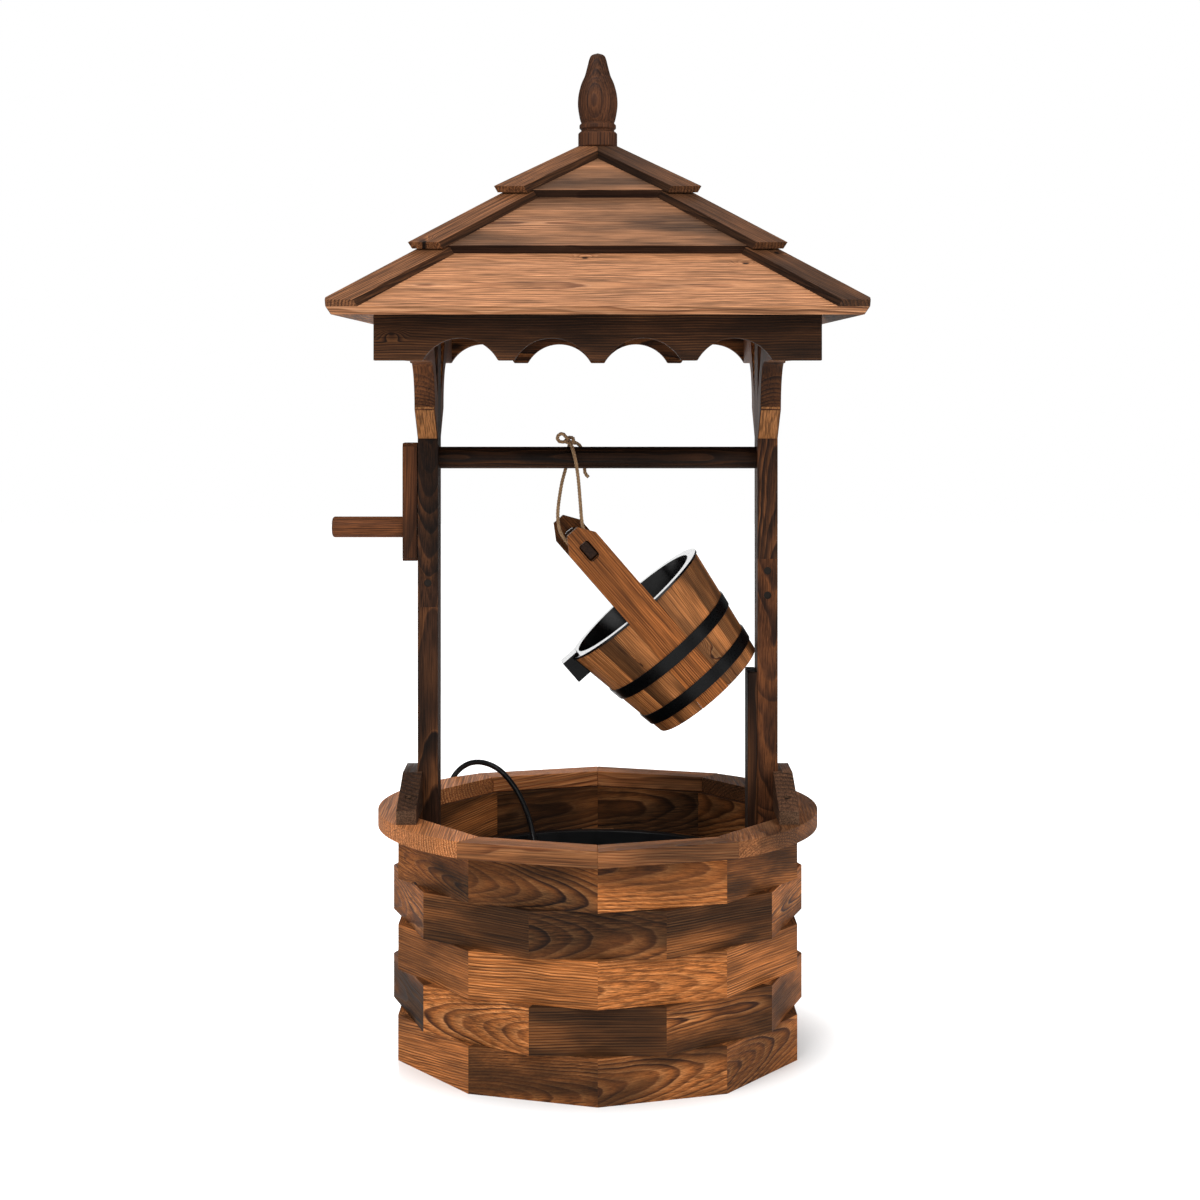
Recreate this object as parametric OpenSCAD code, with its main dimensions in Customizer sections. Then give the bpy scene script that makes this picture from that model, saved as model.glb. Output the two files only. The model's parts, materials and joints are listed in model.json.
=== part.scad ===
// Wishing well fountain: a ten-sided plank barrel with a water basin and pump,
// two posts under a tiered square roof, and a tilted stave bucket on a crank bar.
// The origin is on the ground under the barrel's centre, with +Z up and the crank on -X.

/* [Barrel] */
// Radius across the outer corners of a plank course
barrel_r = 235; // [228:1:240]
// Thickness of a course plank
plank_t = 23.8; // [22:0.2:24]
// Height of one course
course_h = 50.8; // [44:0.4:56]
// Setback of the rim opening's corners from the barrel's corners
rim_inset = 16.5; // [13:0.5:18]
// Reach of the rim's corners past the barrel's corners
rim_over = 20; // [17:0.5:27]
// Reach of the rounded rim boards at the left and right past the barrel's corners
rim_round_over = 17; // [15:0.5:21]
// Thickness of the rim boards
rim_t = 18; // [15:1:22]

/* [Posts] */
// Thickness of a post's foot inside the barrel
leg_t = 17; // [13:0.5:18]
// Thickness of a post
post_t = 23; // [19:0.5:25]
// Width of a post, front to back
post_w = 50; // [44:1:56]
// Height of the top of the posts
post_top = 850; // [820:2:852]
// Height of the middle of the half-lap joint
lap_z = 530; // [500:2:560]
// Length of the half-lap joint
lap_h = 55; // [44:1:64]
// Length of a cleat block at the foot of a post
cleat_l = 230; // [200:2:240]
// Height of a cleat block over the rim
cleat_h = 43; // [36:1:54]
// Reach of a knee brace below the fascia's lower edge
brace_drop = 88; // [80:1:100]

/* [Roof] */
// Half the width of the roof at its eaves
eave_a = 280; // [270:1:290]
// Height of the eaves' upper arris
eave_z = 837.9; // [836:0.5:842]
// Rise over run of the two lower tiers
slope = 0.63; // [0.6:0.01:0.66]
// Rise over run of the top tier
top_slope = 0.58; // [0.56:0.01:0.6]
// Thickness of a roof board
board_t = 10; // [8:0.5:10]
// Half the width of the second tier at its lower arris
tier2_a = 191.4; // [186:0.2:196]
// Half the width of the top tier at its lower arris
tier3_a = 104.1; // [98:0.1:110]
// Width of a hip batten, measured level along the eaves
batten_w = 33; // [28:1:38]
// Thickness of a hip batten
batten_t = 8; // [6:0.5:10]
// Half the width of the fascia frame
fascia_a = 235; // [230:1:240]
// Thickness of a fascia board
fascia_t = 15; // [12:0.5:17]
// Radius of a scallop
scallop_r = 45; // [42:0.5:47]
// Height of a scallop's crown over the fascia's lower edge
scallop_rise = 23.5; // [18:0.5:30]
// Distance between the centres of two scallops
scallop_pitch = 96; // [92:1:100]
// Largest radius of the finial
finial_r = 22.9; // [20:0.1:24]
// Height of the finial
finial_h = 109.5; // [90:0.5:120]

/* [Crank] */
// Height of the crossbar's axis
bar_z = 672.4; // [660:1:680]
// Diameter of the crossbar
bar_d = 25; // [20:0.5:30]
// Throw of the crank, from the bar's axis to the peg's axis
crank_throw = 80; // [60:1:90]
// Thickness of the crank arm
arm_t = 16.5; // [14:0.5:18]
// Width of the crank arm
arm_w = 36; // [34:1:44]
// Diameter of the crank peg
peg_d = 24; // [18:0.5:26]
// Length of the crank peg that stands out of the arm
peg_l = 82; // [60:1:100]

/* [Bucket] */
// Radius of the bucket's mouth, outside
mouth_r = 93; // [86:0.5:94]
// Radius of the bucket's foot, outside
foot_r = 72; // [66:0.5:75]
// Depth of the bucket, outside
bucket_h = 130; // [120:1:134]
// Thickness of a bucket stave
stave_t = 8; // [6:0.5:9]
// Number of bucket staves
staves = 24; // [16:1:30]
// Width of the two upright staves
upright_w = 39; // [34:1:44]
// Height of the upright staves over the mouth
upright_h = 122; // [112:1:126]
// Width of a bucket hoop
hoop_w = 15; // [10:0.5:18]
// Lean of the bucket to the left
lean = 41; // [38:1:43]
// Turn of the bucket's mouth to the front
mouth_turn = 5; // [2:0.5:6]
// Diameter of the rope that carries the bucket
rope_d = 4; // [3:0.5:5]

/* [Water] */
// Gap between the basin's flange and the posts
basin_clear = 2.5; // [1.5:0.5:8]
// Height of the basin's flange
basin_z = 208; // [190:1:215]
// Depth of the basin
basin_h = 168; // [120:1:180]
// Wall of the basin
basin_wall = 3; // [2:0.25:4]
// Length of the pump's housing
pump_l = 84; // [76:1:96]
// Width of the pump's housing
pump_w = 60; // [56:1:70]
// Height of the pump's housing
pump_h = 56; // [50:1:64]
// Diameter of the pump's lead
lead_d = 7; // [6:0.25:8]

/* [Hidden] */
$fn = 64;

sides = 10;
side_angle = 360 / sides;
courses = 5;
barrel_h = courses * course_h;
rim_top = barrel_h + rim_t;
mitre_gap = 0.2;
part_gap = 0.3;
recess = 12;
fit_gap = 0.05;
big = 1200;
half_side = side_angle / 2;
plank_in_r = barrel_r - plank_t / cos(half_side);
plank_flat = plank_in_r * cos(half_side);
rim_open_r = barrel_r - rim_inset;
rim_r = barrel_r + rim_over;
rim_round_r = barrel_r + rim_round_over;
round_fn = 96;
dowel_d = 8;
dowel_l = 30;
dowel_turn = side_angle / 4;
dowel_r = (barrel_r * cos(half_side) - plank_t / 2) / cos(dowel_turn);
rim_side_from = 90 - side_angle;
flange_t = 3;
flange_lip = 10;
basin_taper = 12;
basin_floor_z = basin_z - basin_h + basin_wall;
cleat_gap = 1;
basin_cleat_w = 40;
basin_cleat_h = 18;
basin_cleats_n = 5;

leg_gap = 0.2;
leg_out = plank_flat - leg_gap;
post_in = leg_out - leg_t;
post_out = post_in + post_t;
basin_r = post_in - basin_clear;
basin_top_r = basin_r - flange_lip;
basin_floor_r = basin_top_r - basin_taper;
leg_drop = 124;
leg_z = barrel_h - leg_drop;
lap_lo = lap_z - lap_h / 2;
lap_hi = lap_z + lap_h / 2;
screw_d = 4.5;
screw_head_d = 8.5;
lap_screw_l = 42;
lap_screw_x = (post_in + post_out) / 2;
lap_screw_step = 14;
lap_screw_sink = 1;
leg_screw_sink = 1;
cleat_screw_sink = 2;
crank_screw_sink = 1;
leg_screw_l = 32;
leg_screw_y = 12;
leg_screw_z = barrel_h - course_h / 2;
cleat_set = 5.5;
cleat_in = post_out - cleat_set;
cleat_t = 22;
cleat_end_h = 15;
cleat_top_l = 62;
cleat_screw_y = 85;
cleat_screw_l = 34;
cleat_screw_x = cleat_in + cleat_t / 2;

fascia_in = fascia_a - fascia_t;
fascia_low = 782.5;
scallops = 4;
brace_foot_w = 46;
cove_r = 54;
brace_back = 108;
bearer_h = 35;

board_lap = 10;
tier_gap = 0.2;
batten_gap = 0.3;
tiers = 3;
tier_a = [eave_a, tier2_a, tier3_a];
tier_m = [slope, slope, top_slope];
function plumb(t, m) = t * sqrt(1 + m * m);
function tier_z(k) = k == 0 ? eave_z
    : tier_z(k - 1) + tier_m[k - 1] * (tier_a[k - 1] - tier_a[k]) + plumb(board_t, tier_m[k]) + tier_gap;
function board_top(k, a) = tier_z(k) + tier_m[k] * (tier_a[k] - a);
function board_under(k, a) = board_top(k, a) - plumb(board_t, tier_m[k]);
function board_end(k) = k < tiers - 1 ? tier_a[k + 1] - board_lap : 0;
// Where a line at a height over a tier's boards meets the end face of the next tier, less the gap
function batten_end(k, up) = k < tiers - 1
    ? (tier_a[k + 1] + batten_gap + tier_m[k + 1] * (tier_z(k) + up + tier_m[k] * tier_a[k] - tier_z(k + 1)))
        / (1 + tier_m[k] * tier_m[k + 1])
    : 0;
finial_z = board_top(tiers - 1, finial_r) + plumb(batten_t, top_slope);
fascia_top = board_under(0, fascia_a);
batten_over = 7.5;
rafter_w = 18;
rafter_d = 35;
rafter_gap = 0.2;
rafter_slip = rafter_w / (2 * sqrt(2));
king_half = 25;
king_z = 950;
king_top = board_under(tiers - 1, king_half * sqrt(2)) - rafter_gap;
finial_pin_d = 10;
finial_pin_in = 18;
finial_pin_l = 75;

arm_gap = 1.5;
arm_x = post_out + arm_gap;
arm_over = 17;
arm_under = 38;
arm_back = arm_x + arm_t;
arm_chamfer = 4;
arm_low = bar_z - crank_throw - arm_under;
arm_pass = 3;
side_low = max(fascia_low, 2 * bar_z - arm_low + arm_pass);
bar_in_arm = 8;
peg_tenon_d = 14;
peg_tenon_l = 13;
peg_round = 2;
crank_screw_l = 30;

foot_clear = 0.8;
cross_up = 93;
rope_drop = 99.2;
mouth_x = post_in - foot_clear - foot_r * cos(lean) - bucket_h * sin(lean);
strip_t = 11;
strip_top = 428;
strip_over = 3;
mouth_z = bar_z - rope_drop - cross_up * cos(lean);
flare = (mouth_r - foot_r) / bucket_h;
upright_t = stave_t;
stave_gap = 0.25;
hoop_t = 1.5;
hoop_gap = 0.1;
hoop_at = [62.7, 107.9];
clip_x = 12;
clip_z = 18;
slot_w = 13;
slot_h = 23;
slot_round = 3.5;
tenon_w = 10;
tenon_h = 18;
tenon_drop = 1;
tenon_out = 3;
cross_w = 17;
cross_h = 21;
base_t = 10;
base_up = 8;
liner_t = 2;
liner_gap = 0.3;
lip_t = 2.5;
lip_over = 1.5;
spout_w = 35;
spout_reach = 106;
spout_h = 25;
spout_wall = 3;
function outer_r(z) = mouth_r + flare * z;
function inner_r(z) = outer_r(z) - stave_t;

pump_x = -40;
pump_y = 70;
foot_pad_h = 6;
foot_pad_r = 8;
foot_inset = 12;
foot_taper = 2;
pump_z = basin_floor_z + foot_pad_h;
pump_corner = 8;
cover_t = 8;
chamber_r = 21;
chamber_l = 40;
chamber_up = 27;
chamber_z = pump_z + chamber_up;
cover_slot = 3;
cover_slot_step = 7.5;
shaft_d = 3;
shaft_l = 46;
rotor_r = 9;
rotor_l = 22;
impeller_r = 18;
impeller_t = 3;
blade_l = 8;
blade_t = 2;
blades = 6;
run_gap = 0.05;
outlet_r = 8;
outlet_bore_r = 5.5;
outlet_h = 18;
knob_r = 9;
knob_h = 6;
knob_stem_d = 6;
knob_stem_l = 8;
gland_x = -70;
gland_y = 88;
gland_r = 7;
gland_h = 19.5;
gland_foot_h = 5;

fir_dark = "#5a3520";
fir_brown = "#7d4a2a";
fir_orange = "#b0713f";
fir_pale = "#c08350";
black_plastic = "#17181a";
zinc = "#8b8d90";
jute = "#a5805a";

// Route of the pump's lead, from its gland over the rim and down to the ground
lead_route = [
    [-70, 88, 125], [-70, 88, 132], [-71, 94, 152], [-73, 110, 180], [-78, 130, 209],
    [-87, 141, 238], [-100, 152, 262], [-119, 164, 282], [-140, 176, 290], [-160, 186, 287],
    [-177, 195, 272], [-184, 202, 250], [-186, 205, 220], [-187, 206, 180], [-188, 207, 140],
    [-189, 208, 100], [-190, 209, 60], [-190, 211, 30], [-188, 218, 11], [-180, 230, 4.5],
    [-168, 241, 3.5], [-150, 248, 3.5], [-132, 251.5, 3.5], [-113, 252, 3.5]
];
// Route of the rope, from the knot over the bar, down round the crosspiece and up behind
rope_route = [
    [-32, -3, 690], [-30, -9, 687], [-28, -14, 680], [-26, -15.5, 672], [-24, -14, 661],
    [-22, -11, 645], [-20, -7, 620], [-18.5, -4, 601], [-15.8, -3, 588.3], [-9.8, -3, 581.8],
    [-3.3, -2.5, 573.8], [-3.3, -1.5, 567.3], [-9.8, -1, 561.3], [-16.8, 0, 556.8], [-21.8, 1, 557.8],
    [-27.8, 2, 564.8], [-34.3, 3, 573.3], [-40.8, 4, 581.8], [-45, 5, 593], [-46, 6, 611],
    [-42, 10, 640], [-37, 14, 660], [-35, 15.5, 672], [-34, 14, 681], [-33, 9, 687], [-32, 3, 690]
];
rope_tail = [[-27, 3, 690], [-21, 10, 686], [-17, 16, 677], [-15, 18, 665], [-15, 18, 655], [-11, 18, 649]];
rope_eye_r = 5;
rope_eye_x = -41;
rope_knot = [14, 9];
coil_x = -105;
coil_y = 300;
coil_out_r = 48;
coil_turns = 5;
coil_pitch = 7.7;
coil_rings = 24;
coil_sides = 6;
lead_sides = 10;
rope_sides = 8;
coil_z = lead_d / 2;
coil_climb = lead_d + 0.6;
coil_lead_in = 8;
coil_tail = 18;
plug_neck_l = 26;
plug_neck_r = 6;
plug_neck_wall = 0.5;
plug_l = 32;
plug_w = 20;
plug_h = 22;
blade_w = 6.3;
blade_thick = 1.5;
blade_reach = 17;
blade_apart = 12.7;

function unit(v) = v / norm(v);
function spline(a, b, c, d, t) = 0.5 * (2 * b + (c - a) * t + (2 * a - 5 * b + 4 * c - d) * t * t
    + (3 * b - a - 3 * c + d) * t * t * t);
// A smooth run through the route's points, with a number of steps between two of them
function smooth(p, steps) = concat([
    for (i = [0:len(p) - 2]) for (s = [0:steps - 1])
        spline(p[max(i - 1, 0)], p[i], p[i + 1], p[min(i + 2, len(p) - 1)], s / steps)
], [p[len(p) - 1]]);
function tangents(p) = [for (i = [0:len(p) - 1]) unit(p[min(i + 1, len(p) - 1)] - p[max(i - 1, 0)])];
function carry(t, i, n) = i >= len(t) ? [] : let (m = unit(n - (n * t[i]) * t[i])) concat([m], carry(t, i + 1, m));
function span(p) = len(p) < 2 ? 0 : let (d = [for (i = [1:len(p) - 1]) norm(p[i] - p[i - 1])])
    d * [for (x = d) 1];

module tube(p, r, n) {
    t = tangents(p);
    u = carry(t, 0, unit(cross(t[0], [0.3, 0.2, 1])));
    m = len(p);
    points = [for (i = [0:m - 1]) for (j = [0:n - 1])
        p[i] + r * (cos(360 * j / n) * u[i] + sin(360 * j / n) * cross(t[i], u[i]))];
    walls = [for (i = [0:m - 2]) for (j = [0:n - 1]) let (a = i * n + j, b = i * n + (j + 1) % n)
        each [[a, b + n, b], [a, a + n, b + n]]];
    first = [for (j = [1:n - 2]) [0, j, j + 1]];
    last = [for (j = [1:n - 2]) [(m - 1) * n, (m - 1) * n + j + 1, (m - 1) * n + j]];
    polyhedron(points, concat(walls, first, last));
}

// Barrel
module plank(r_out, r_in, from, z, h) {
    edge = function (r, a, s) r * [cos(a), sin(a)] + s * mitre_gap / 2 * [-sin(a), cos(a)];
    to = from + side_angle;
    translate([0, 0, z]) linear_extrude(h)
        polygon([edge(r_in, from, 1), edge(r_out, from, 1), edge(r_out, to, -1), edge(r_in, to, -1)]);
}

module dowels(layer, gap) {
    for (k = [0:sides - 1])
        rotate(dowel_turn + k * side_angle) translate([dowel_r, 0, layer * course_h])
            cylinder(d = dowel_d + 2 * gap, h = dowel_l + 2 * gap, center = true);
}

module course(layer) {
    turn = layer % 2 == 1 ? half_side : 0;
    difference() {
        for (k = [0:sides - 1])
            plank(barrel_r, plank_in_r, turn + k * side_angle, (layer - 1) * course_h, course_h);
        if (layer > 1) dowels(layer - 1, fit_gap);
        if (layer < courses) dowels(layer, fit_gap);
        if (layer == courses) leg_screw_places() screw(leg_screw_l, fit_gap);
    }
}

module course_1() { color(fir_orange) course(1); }
module course_2() { color(fir_dark) course(2); }
module course_3() { color(fir_orange) course(3); }
module course_4() { color(fir_dark) course(4); }
module course_5() { color(fir_brown) course(5); }
module course_dowels() {
    color(fir_pale) for (layer = [1:courses - 1]) dowels(layer, 0);
}

module rim_planks() {
    color(fir_pale) for (end = [0, 180]) for (k = [0, 1])
        plank(rim_r, rim_open_r, end + 90 - side_angle + k * side_angle, barrel_h, rim_t);
}

module rim_side(turn) {
    color(fir_pale) difference() {
        rotate(turn) translate([0, 0, barrel_h]) linear_extrude(rim_t) difference() {
            intersection() {
                circle(rim_round_r, $fn = round_fn);
                polygon([[mitre_gap, 0], big * [cos(rim_side_from), -sin(rim_side_from)],
                    [big, 0], big * [cos(rim_side_from), sin(rim_side_from)]]);
            }
            rotate(half_side) circle(rim_open_r, $fn = sides);
        }
        cleat_screw_places() screw(cleat_screw_l, fit_gap);
    }
}

module rim_side_left() { rim_side(180); }
module rim_side_right() { rim_side(0); }

// Basin and its ledges
module basin() {
    color(black_plastic) translate([0, 0, basin_z - basin_h]) rotate_extrude($fn = round_fn) polygon([
        [0, 0], [basin_floor_r, 0], [basin_top_r, basin_h - flange_t], [basin_r, basin_h - flange_t],
        [basin_r, basin_h], [basin_top_r - basin_wall, basin_h],
        [basin_floor_r - basin_wall, basin_wall], [0, basin_wall]
    ]);
}

module basin_cleats() {
    color(fir_dark) for (k = [0:basin_cleats_n - 1]) rotate(90 + k * 360 / basin_cleats_n)
        translate([basin_top_r + cleat_gap, -basin_cleat_w / 2, basin_z - flange_t - basin_cleat_h])
            cube([plank_flat - basin_top_r - cleat_gap, basin_cleat_w, basin_cleat_h]);
}

// Screws: the head's top is at the origin and the tip points down
module screw(l, gap = 0) {
    r = screw_d / 2 + gap;
    head = screw_head_d / 2 + gap;
    translate([0, 0, -l]) cylinder(r = r, h = l);
    translate([0, 0, -screw_head_d / 2]) cylinder(r1 = r, r2 = head, h = screw_head_d / 4);
    translate([0, 0, -screw_head_d / 4]) cylinder(r = head, h = screw_head_d / 4 + (gap > 0 ? recess : 0));
}

// The left post shows one screw in its lap and the right post shows two
lap_screws = [[-1, 0], [1, -1], [1, 1]];
module lap_screw_places() {
    for (at = lap_screws)
        translate([at[0] * lap_screw_x, lap_screw_sink - post_w / 2, lap_z + at[1] * lap_screw_step])
            rotate([90, 0, 0]) children();
}

module leg_screw_places() {
    for (turn = [0, 180]) rotate(turn) for (y = [-leg_screw_y, leg_screw_y])
        translate([post_in + leg_screw_sink, y, leg_screw_z]) rotate([0, -90, 0]) children();
}

function cleat_z(y) = rim_top + cleat_end_h
    + (cleat_h - cleat_end_h) * (cleat_l / 2 - y) / (cleat_l / 2 - cleat_top_l / 2);

module cleat_screw_places() {
    for (side = [-1, 1]) for (end = [-1, 1])
        translate([side * cleat_screw_x, end * cleat_screw_y, cleat_z(cleat_screw_y) - cleat_screw_sink]) children();
}

module frame_screws() {
    color(zinc) {
        lap_screw_places() screw(lap_screw_l);
        leg_screw_places() screw(leg_screw_l);
        cleat_screw_places() screw(cleat_screw_l);
    }
}

// Posts, with the left one turned half round from the right one
module bar_bore(gap) {
    translate([-arm_back, 0, bar_z]) rotate([0, 90, 0]) cylinder(d = bar_d + 2 * gap, h = arm_back + post_out + 1);
}

module post_upper(turn) {
    color(fir_dark) difference() {
        rotate(turn) difference() {
            translate([post_in, -post_w / 2, lap_lo]) cube([post_t, post_w, post_top - lap_lo]);
            translate([post_in - 1, -post_w, lap_lo - 1]) cube([post_t + 2, post_w, lap_h + 1]);
        }
        bar_bore(fit_gap);
        lap_screw_places() screw(lap_screw_l, fit_gap);
    }
}

module post_lower(turn) {
    color(fir_dark) difference() {
        rotate(turn) difference() {
            translate([post_in, -post_w / 2, leg_z]) cube([post_t, post_w, lap_hi - leg_z]);
            translate([post_in - 1, 0, lap_lo]) cube([post_t + 2, post_w, lap_h + 1]);
            translate([leg_out, -post_w, leg_z - 1]) cube([post_t, 2 * post_w, leg_drop + 1]);
        }
        lap_screw_places() screw(lap_screw_l, fit_gap);
        leg_screw_places() screw(leg_screw_l, fit_gap);
    }
}

// Strip that covers the pump's riser up the right post, from over the basin to the bucket's foot
module riser_strip() {
    low = basin_z + strip_over;
    color(fir_dark) translate([post_in - mitre_gap - strip_t, -post_w / 2, low])
        cube([strip_t, post_w, strip_top - low]);
}

module post_upper_left() { post_upper(180); }
module post_lower_left() { post_lower(180); }
module post_upper_right() { post_upper(0); }
module post_lower_right() { post_lower(0); }

module cleat(turn) {
    low = rim_top + cleat_end_h;
    top = rim_top + cleat_h;
    color(fir_brown) difference() {
        rotate(turn) difference() {
            translate([cleat_in, 0, 0]) rotate([90, 0, 90]) linear_extrude(cleat_t) polygon([
                [-cleat_l / 2, rim_top], [cleat_l / 2, rim_top], [cleat_l / 2, low],
                [cleat_top_l / 2, top], [-cleat_top_l / 2, top], [-cleat_l / 2, low]
            ]);
            translate([post_in, -post_w / 2, rim_top - 1]) cube([post_t, post_w, cleat_h + 2]);
        }
        cleat_screw_places() screw(cleat_screw_l, fit_gap);
    }
}

module cleat_left() { cleat(180); }
module cleat_right() { cleat(0); }

module brace(side, end) {
    cove_z = fascia_low - cove_r;
    cove_y = post_w / 2 + brace_foot_w + cove_r;
    color(fir_brown) translate([side > 0 ? post_in : -post_out, 0, 0]) rotate([90, 0, 90])
        linear_extrude(post_t) mirror([end < 0 ? 1 : 0, 0]) difference() {
            polygon([
                [post_w / 2, fascia_low - brace_drop], [post_w / 2 + brace_foot_w, cove_z], [cove_y, cove_z],
                [cove_y, fascia_low], [fascia_in, fascia_low], [fascia_in, post_top],
                [post_w / 2 + brace_back, post_top], [post_w / 2, post_top - brace_back]
            ]);
            translate([cove_y, cove_z]) circle(cove_r);
        }
}

module brace_front_left() { brace(-1, -1); }
module brace_front_right() { brace(1, -1); }
module brace_back_left() { brace(-1, 1); }
module brace_back_right() { brace(1, 1); }

// Fascia frame and the framing under the roof
module fascia_scalloped(end) {
    color(fir_dark) translate([0, end > 0 ? fascia_a : -fascia_in, 0]) rotate([90, 0, 0])
        linear_extrude(fascia_t) difference() {
            translate([-fascia_a, fascia_low]) square([2 * fascia_a, fascia_top - fascia_low]);
            for (k = [0:scallops - 1])
                translate([(k - (scallops - 1) / 2) * scallop_pitch, fascia_low + scallop_rise - scallop_r]) circle(scallop_r);
        }
}

// The side boards are less deep, so that the crank arm passes under them
module fascia_plain(side) {
    color(fir_dark) translate([side > 0 ? fascia_in : -fascia_a, -fascia_in, side_low])
        cube([fascia_t, 2 * fascia_in, fascia_top - side_low]);
}

module fascia_front() { fascia_scalloped(-1); }
module fascia_back() { fascia_scalloped(1); }
module fascia_left() { fascia_plain(-1); }
module fascia_right() { fascia_plain(1); }

module roof_bearers() {
    color(fir_brown) for (turn = [0, 180]) rotate(turn)
        translate([post_out, -fascia_in, post_top - bearer_h])
            cube([fascia_in - post_out, 2 * fascia_in, bearer_h]);
}

module hip_rafters() {
    low_a = board_end(0);
    high_a = board_end(1);
    rise = (board_under(1, high_a) - board_under(0, low_a)) / (low_a - high_a);
    line = function (a) board_under(0, low_a) + rise * (low_a - a - rafter_slip) - rafter_gap;
    foot = fascia_in - rafter_slip - rafter_gap;
    seat = low_a + (line(low_a) - rafter_d - post_top) / rise;
    head = board_under(tiers - 1, king_half) - rafter_gap;
    head_a = low_a + (line(low_a) - head) / rise;
    color(fir_brown) for (k = [0:3]) rotate([90, 0, 45 + 90 * k]) linear_extrude(rafter_w, center = true)
        polygon([
            [foot * sqrt(2), post_top], [foot * sqrt(2), line(foot)], [head_a * sqrt(2), head],
            [king_half, head], [king_half, line(king_half / sqrt(2)) - rafter_d], [seat * sqrt(2), post_top]
        ]);
}

module finial_bore(gap) {
    translate([0, 0, finial_z + finial_pin_in - finial_pin_l - gap])
        cylinder(d = finial_pin_d + 2 * gap, h = finial_pin_l + 2 * gap);
}

module king_block() {
    color(fir_brown) difference() {
        rotate(45) translate([-king_half, -king_half, king_z])
            cube([2 * king_half, 2 * king_half, king_top - king_z]);
        finial_bore(fit_gap);
    }
}

// Roof boards: a tier's section in the plane across the eaves, run along them
function down(k) = [-tier_m[k], -1] / sqrt(1 + tier_m[k] * tier_m[k]);

module on_slope(turn, section, outline) {
    rotate(turn) intersection() {
        translate([-eave_a, 0, 0]) rotate([90, 0, 90]) linear_extrude(2 * eave_a)
            polygon([for (q = section) [-q[0], q[1]]]);
        linear_extrude(finial_z) polygon(outline);
    }
}

module roof_boards(turn) {
    color(fir_pale) difference() {
        for (k = [0:tiers - 1]) {
            low = [tier_a[k], tier_z(k)];
            high = [board_end(k), board_top(k, board_end(k))];
            fall = board_t * down(k);
            on_slope(turn, [low, high, high + fall, low + fall],
                [[0, -mitre_gap], [-big, -big - mitre_gap], [big, -big - mitre_gap]]);
        }
        finial_bore(fit_gap);
    }
}

module roof_boards_front() { roof_boards(0); }
module roof_boards_back() { roof_boards(180); }
module roof_boards_left() { roof_boards(-90); }
module roof_boards_right() { roof_boards(90); }

module hip_battens(turn) {
    color(fir_dark) difference() {
        for (side = [-1, 1]) for (k = [0:tiers - 1]) {
            over = k > 0 ? batten_over / plumb(1, tier_m[k]) : 0;
            low = [tier_a[k] + over, board_top(k, tier_a[k] + over)];
            stop = batten_end(k, 0);
            rise = plumb(batten_t, tier_m[k]);
            top_stop = batten_end(k, rise);
            lift = -batten_t * down(k);
            on_slope(turn, [
                low, [stop, board_top(k, stop)], [top_stop, board_top(k, top_stop) + rise], low + lift
            ], [
                [side * mitre_gap / 2, -mitre_gap], [side * (big - mitre_gap), -big],
                [side * (big - batten_w), -big], [side * mitre_gap / 2, -batten_w]
            ]);
        }
        finial_bore(fit_gap);
    }
}

module hip_battens_front() { hip_battens(0); }
module hip_battens_back() { hip_battens(180); }

// Turned finial: base band, collar and bulb, as shares of its radius and height
finial_foot = [[0.9, 0], [0.98, 0.02], [0.98, 0.15], [0.9, 0.168], [0.83, 0.175], [0.83, 0.19],
    [0.92, 0.205], [0.92, 0.24], [0.83, 0.26]];
finial_bulb = [[0.83, 0.265], [0.89, 0.3], [0.97, 0.39], [1, 0.47], [0.96, 0.57], [0.82, 0.68],
    [0.65, 0.76], [0.52, 0.86], [0.42, 0.94], [0.3, 0.98], [0, 1]];

module finial() {
    outline = concat([[0, 0]], finial_foot, smooth(finial_bulb, 3));
    color(fir_brown) difference() {
        translate([0, 0, finial_z]) rotate_extrude()
            polygon([for (q = outline) [max(0, q[0]) * finial_r, min(1, q[1]) * finial_h]]);
        finial_bore(fit_gap);
    }
}

module finial_screw() { color(fir_pale) finial_bore(0); }

// Crank
module crank_screw_place() {
    translate([crank_screw_sink - arm_back, 0, bar_z]) rotate([0, -90, 0]) children();
}

module peg_tenon(gap) {
    translate([-arm_back - 1, 0, bar_z - crank_throw]) rotate([0, 90, 0])
        cylinder(d = peg_tenon_d + 2 * gap, h = peg_tenon_l + 1 + gap);
}

module crossbar() {
    color(fir_dark) difference() {
        translate([-arm_x - bar_in_arm, 0, bar_z]) rotate([0, 90, 0])
            cylinder(d = bar_d, h = arm_x + bar_in_arm + post_out);
        crank_screw_place() screw(crank_screw_l, fit_gap);
    }
}

module crank_arm() {
    top = bar_z + arm_over;
    low = arm_low;
    w = arm_w / 2;
    c = arm_chamfer;
    color(fir_brown) difference() {
        translate([-arm_back, 0, 0]) rotate([90, 0, 90]) linear_extrude(arm_t) polygon([
            [-w, low + c], [-w + c, low], [w - c, low], [w, low + c],
            [w, top - c], [w - c, top], [-w + c, top], [-w, top - c]
        ]);
        translate([-arm_x - bar_in_arm - fit_gap, 0, bar_z]) rotate([0, 90, 0])
            cylinder(d = bar_d + 2 * fit_gap, h = arm_t);
        peg_tenon(fit_gap);
        crank_screw_place() screw(crank_screw_l, fit_gap);
    }
}

module crank_peg() {
    color(fir_brown) union() {
        peg_tenon(0);
        translate([-arm_back, 0, bar_z - crank_throw]) rotate([0, -90, 0]) {
            cylinder(d = peg_d, h = peg_l - peg_round);
            translate([0, 0, peg_l - peg_round])
                cylinder(d1 = peg_d, d2 = peg_d - 2 * peg_round, h = peg_round);
        }
    }
}

module crank_screw() { color(zinc) crank_screw_place() screw(crank_screw_l); }

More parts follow.
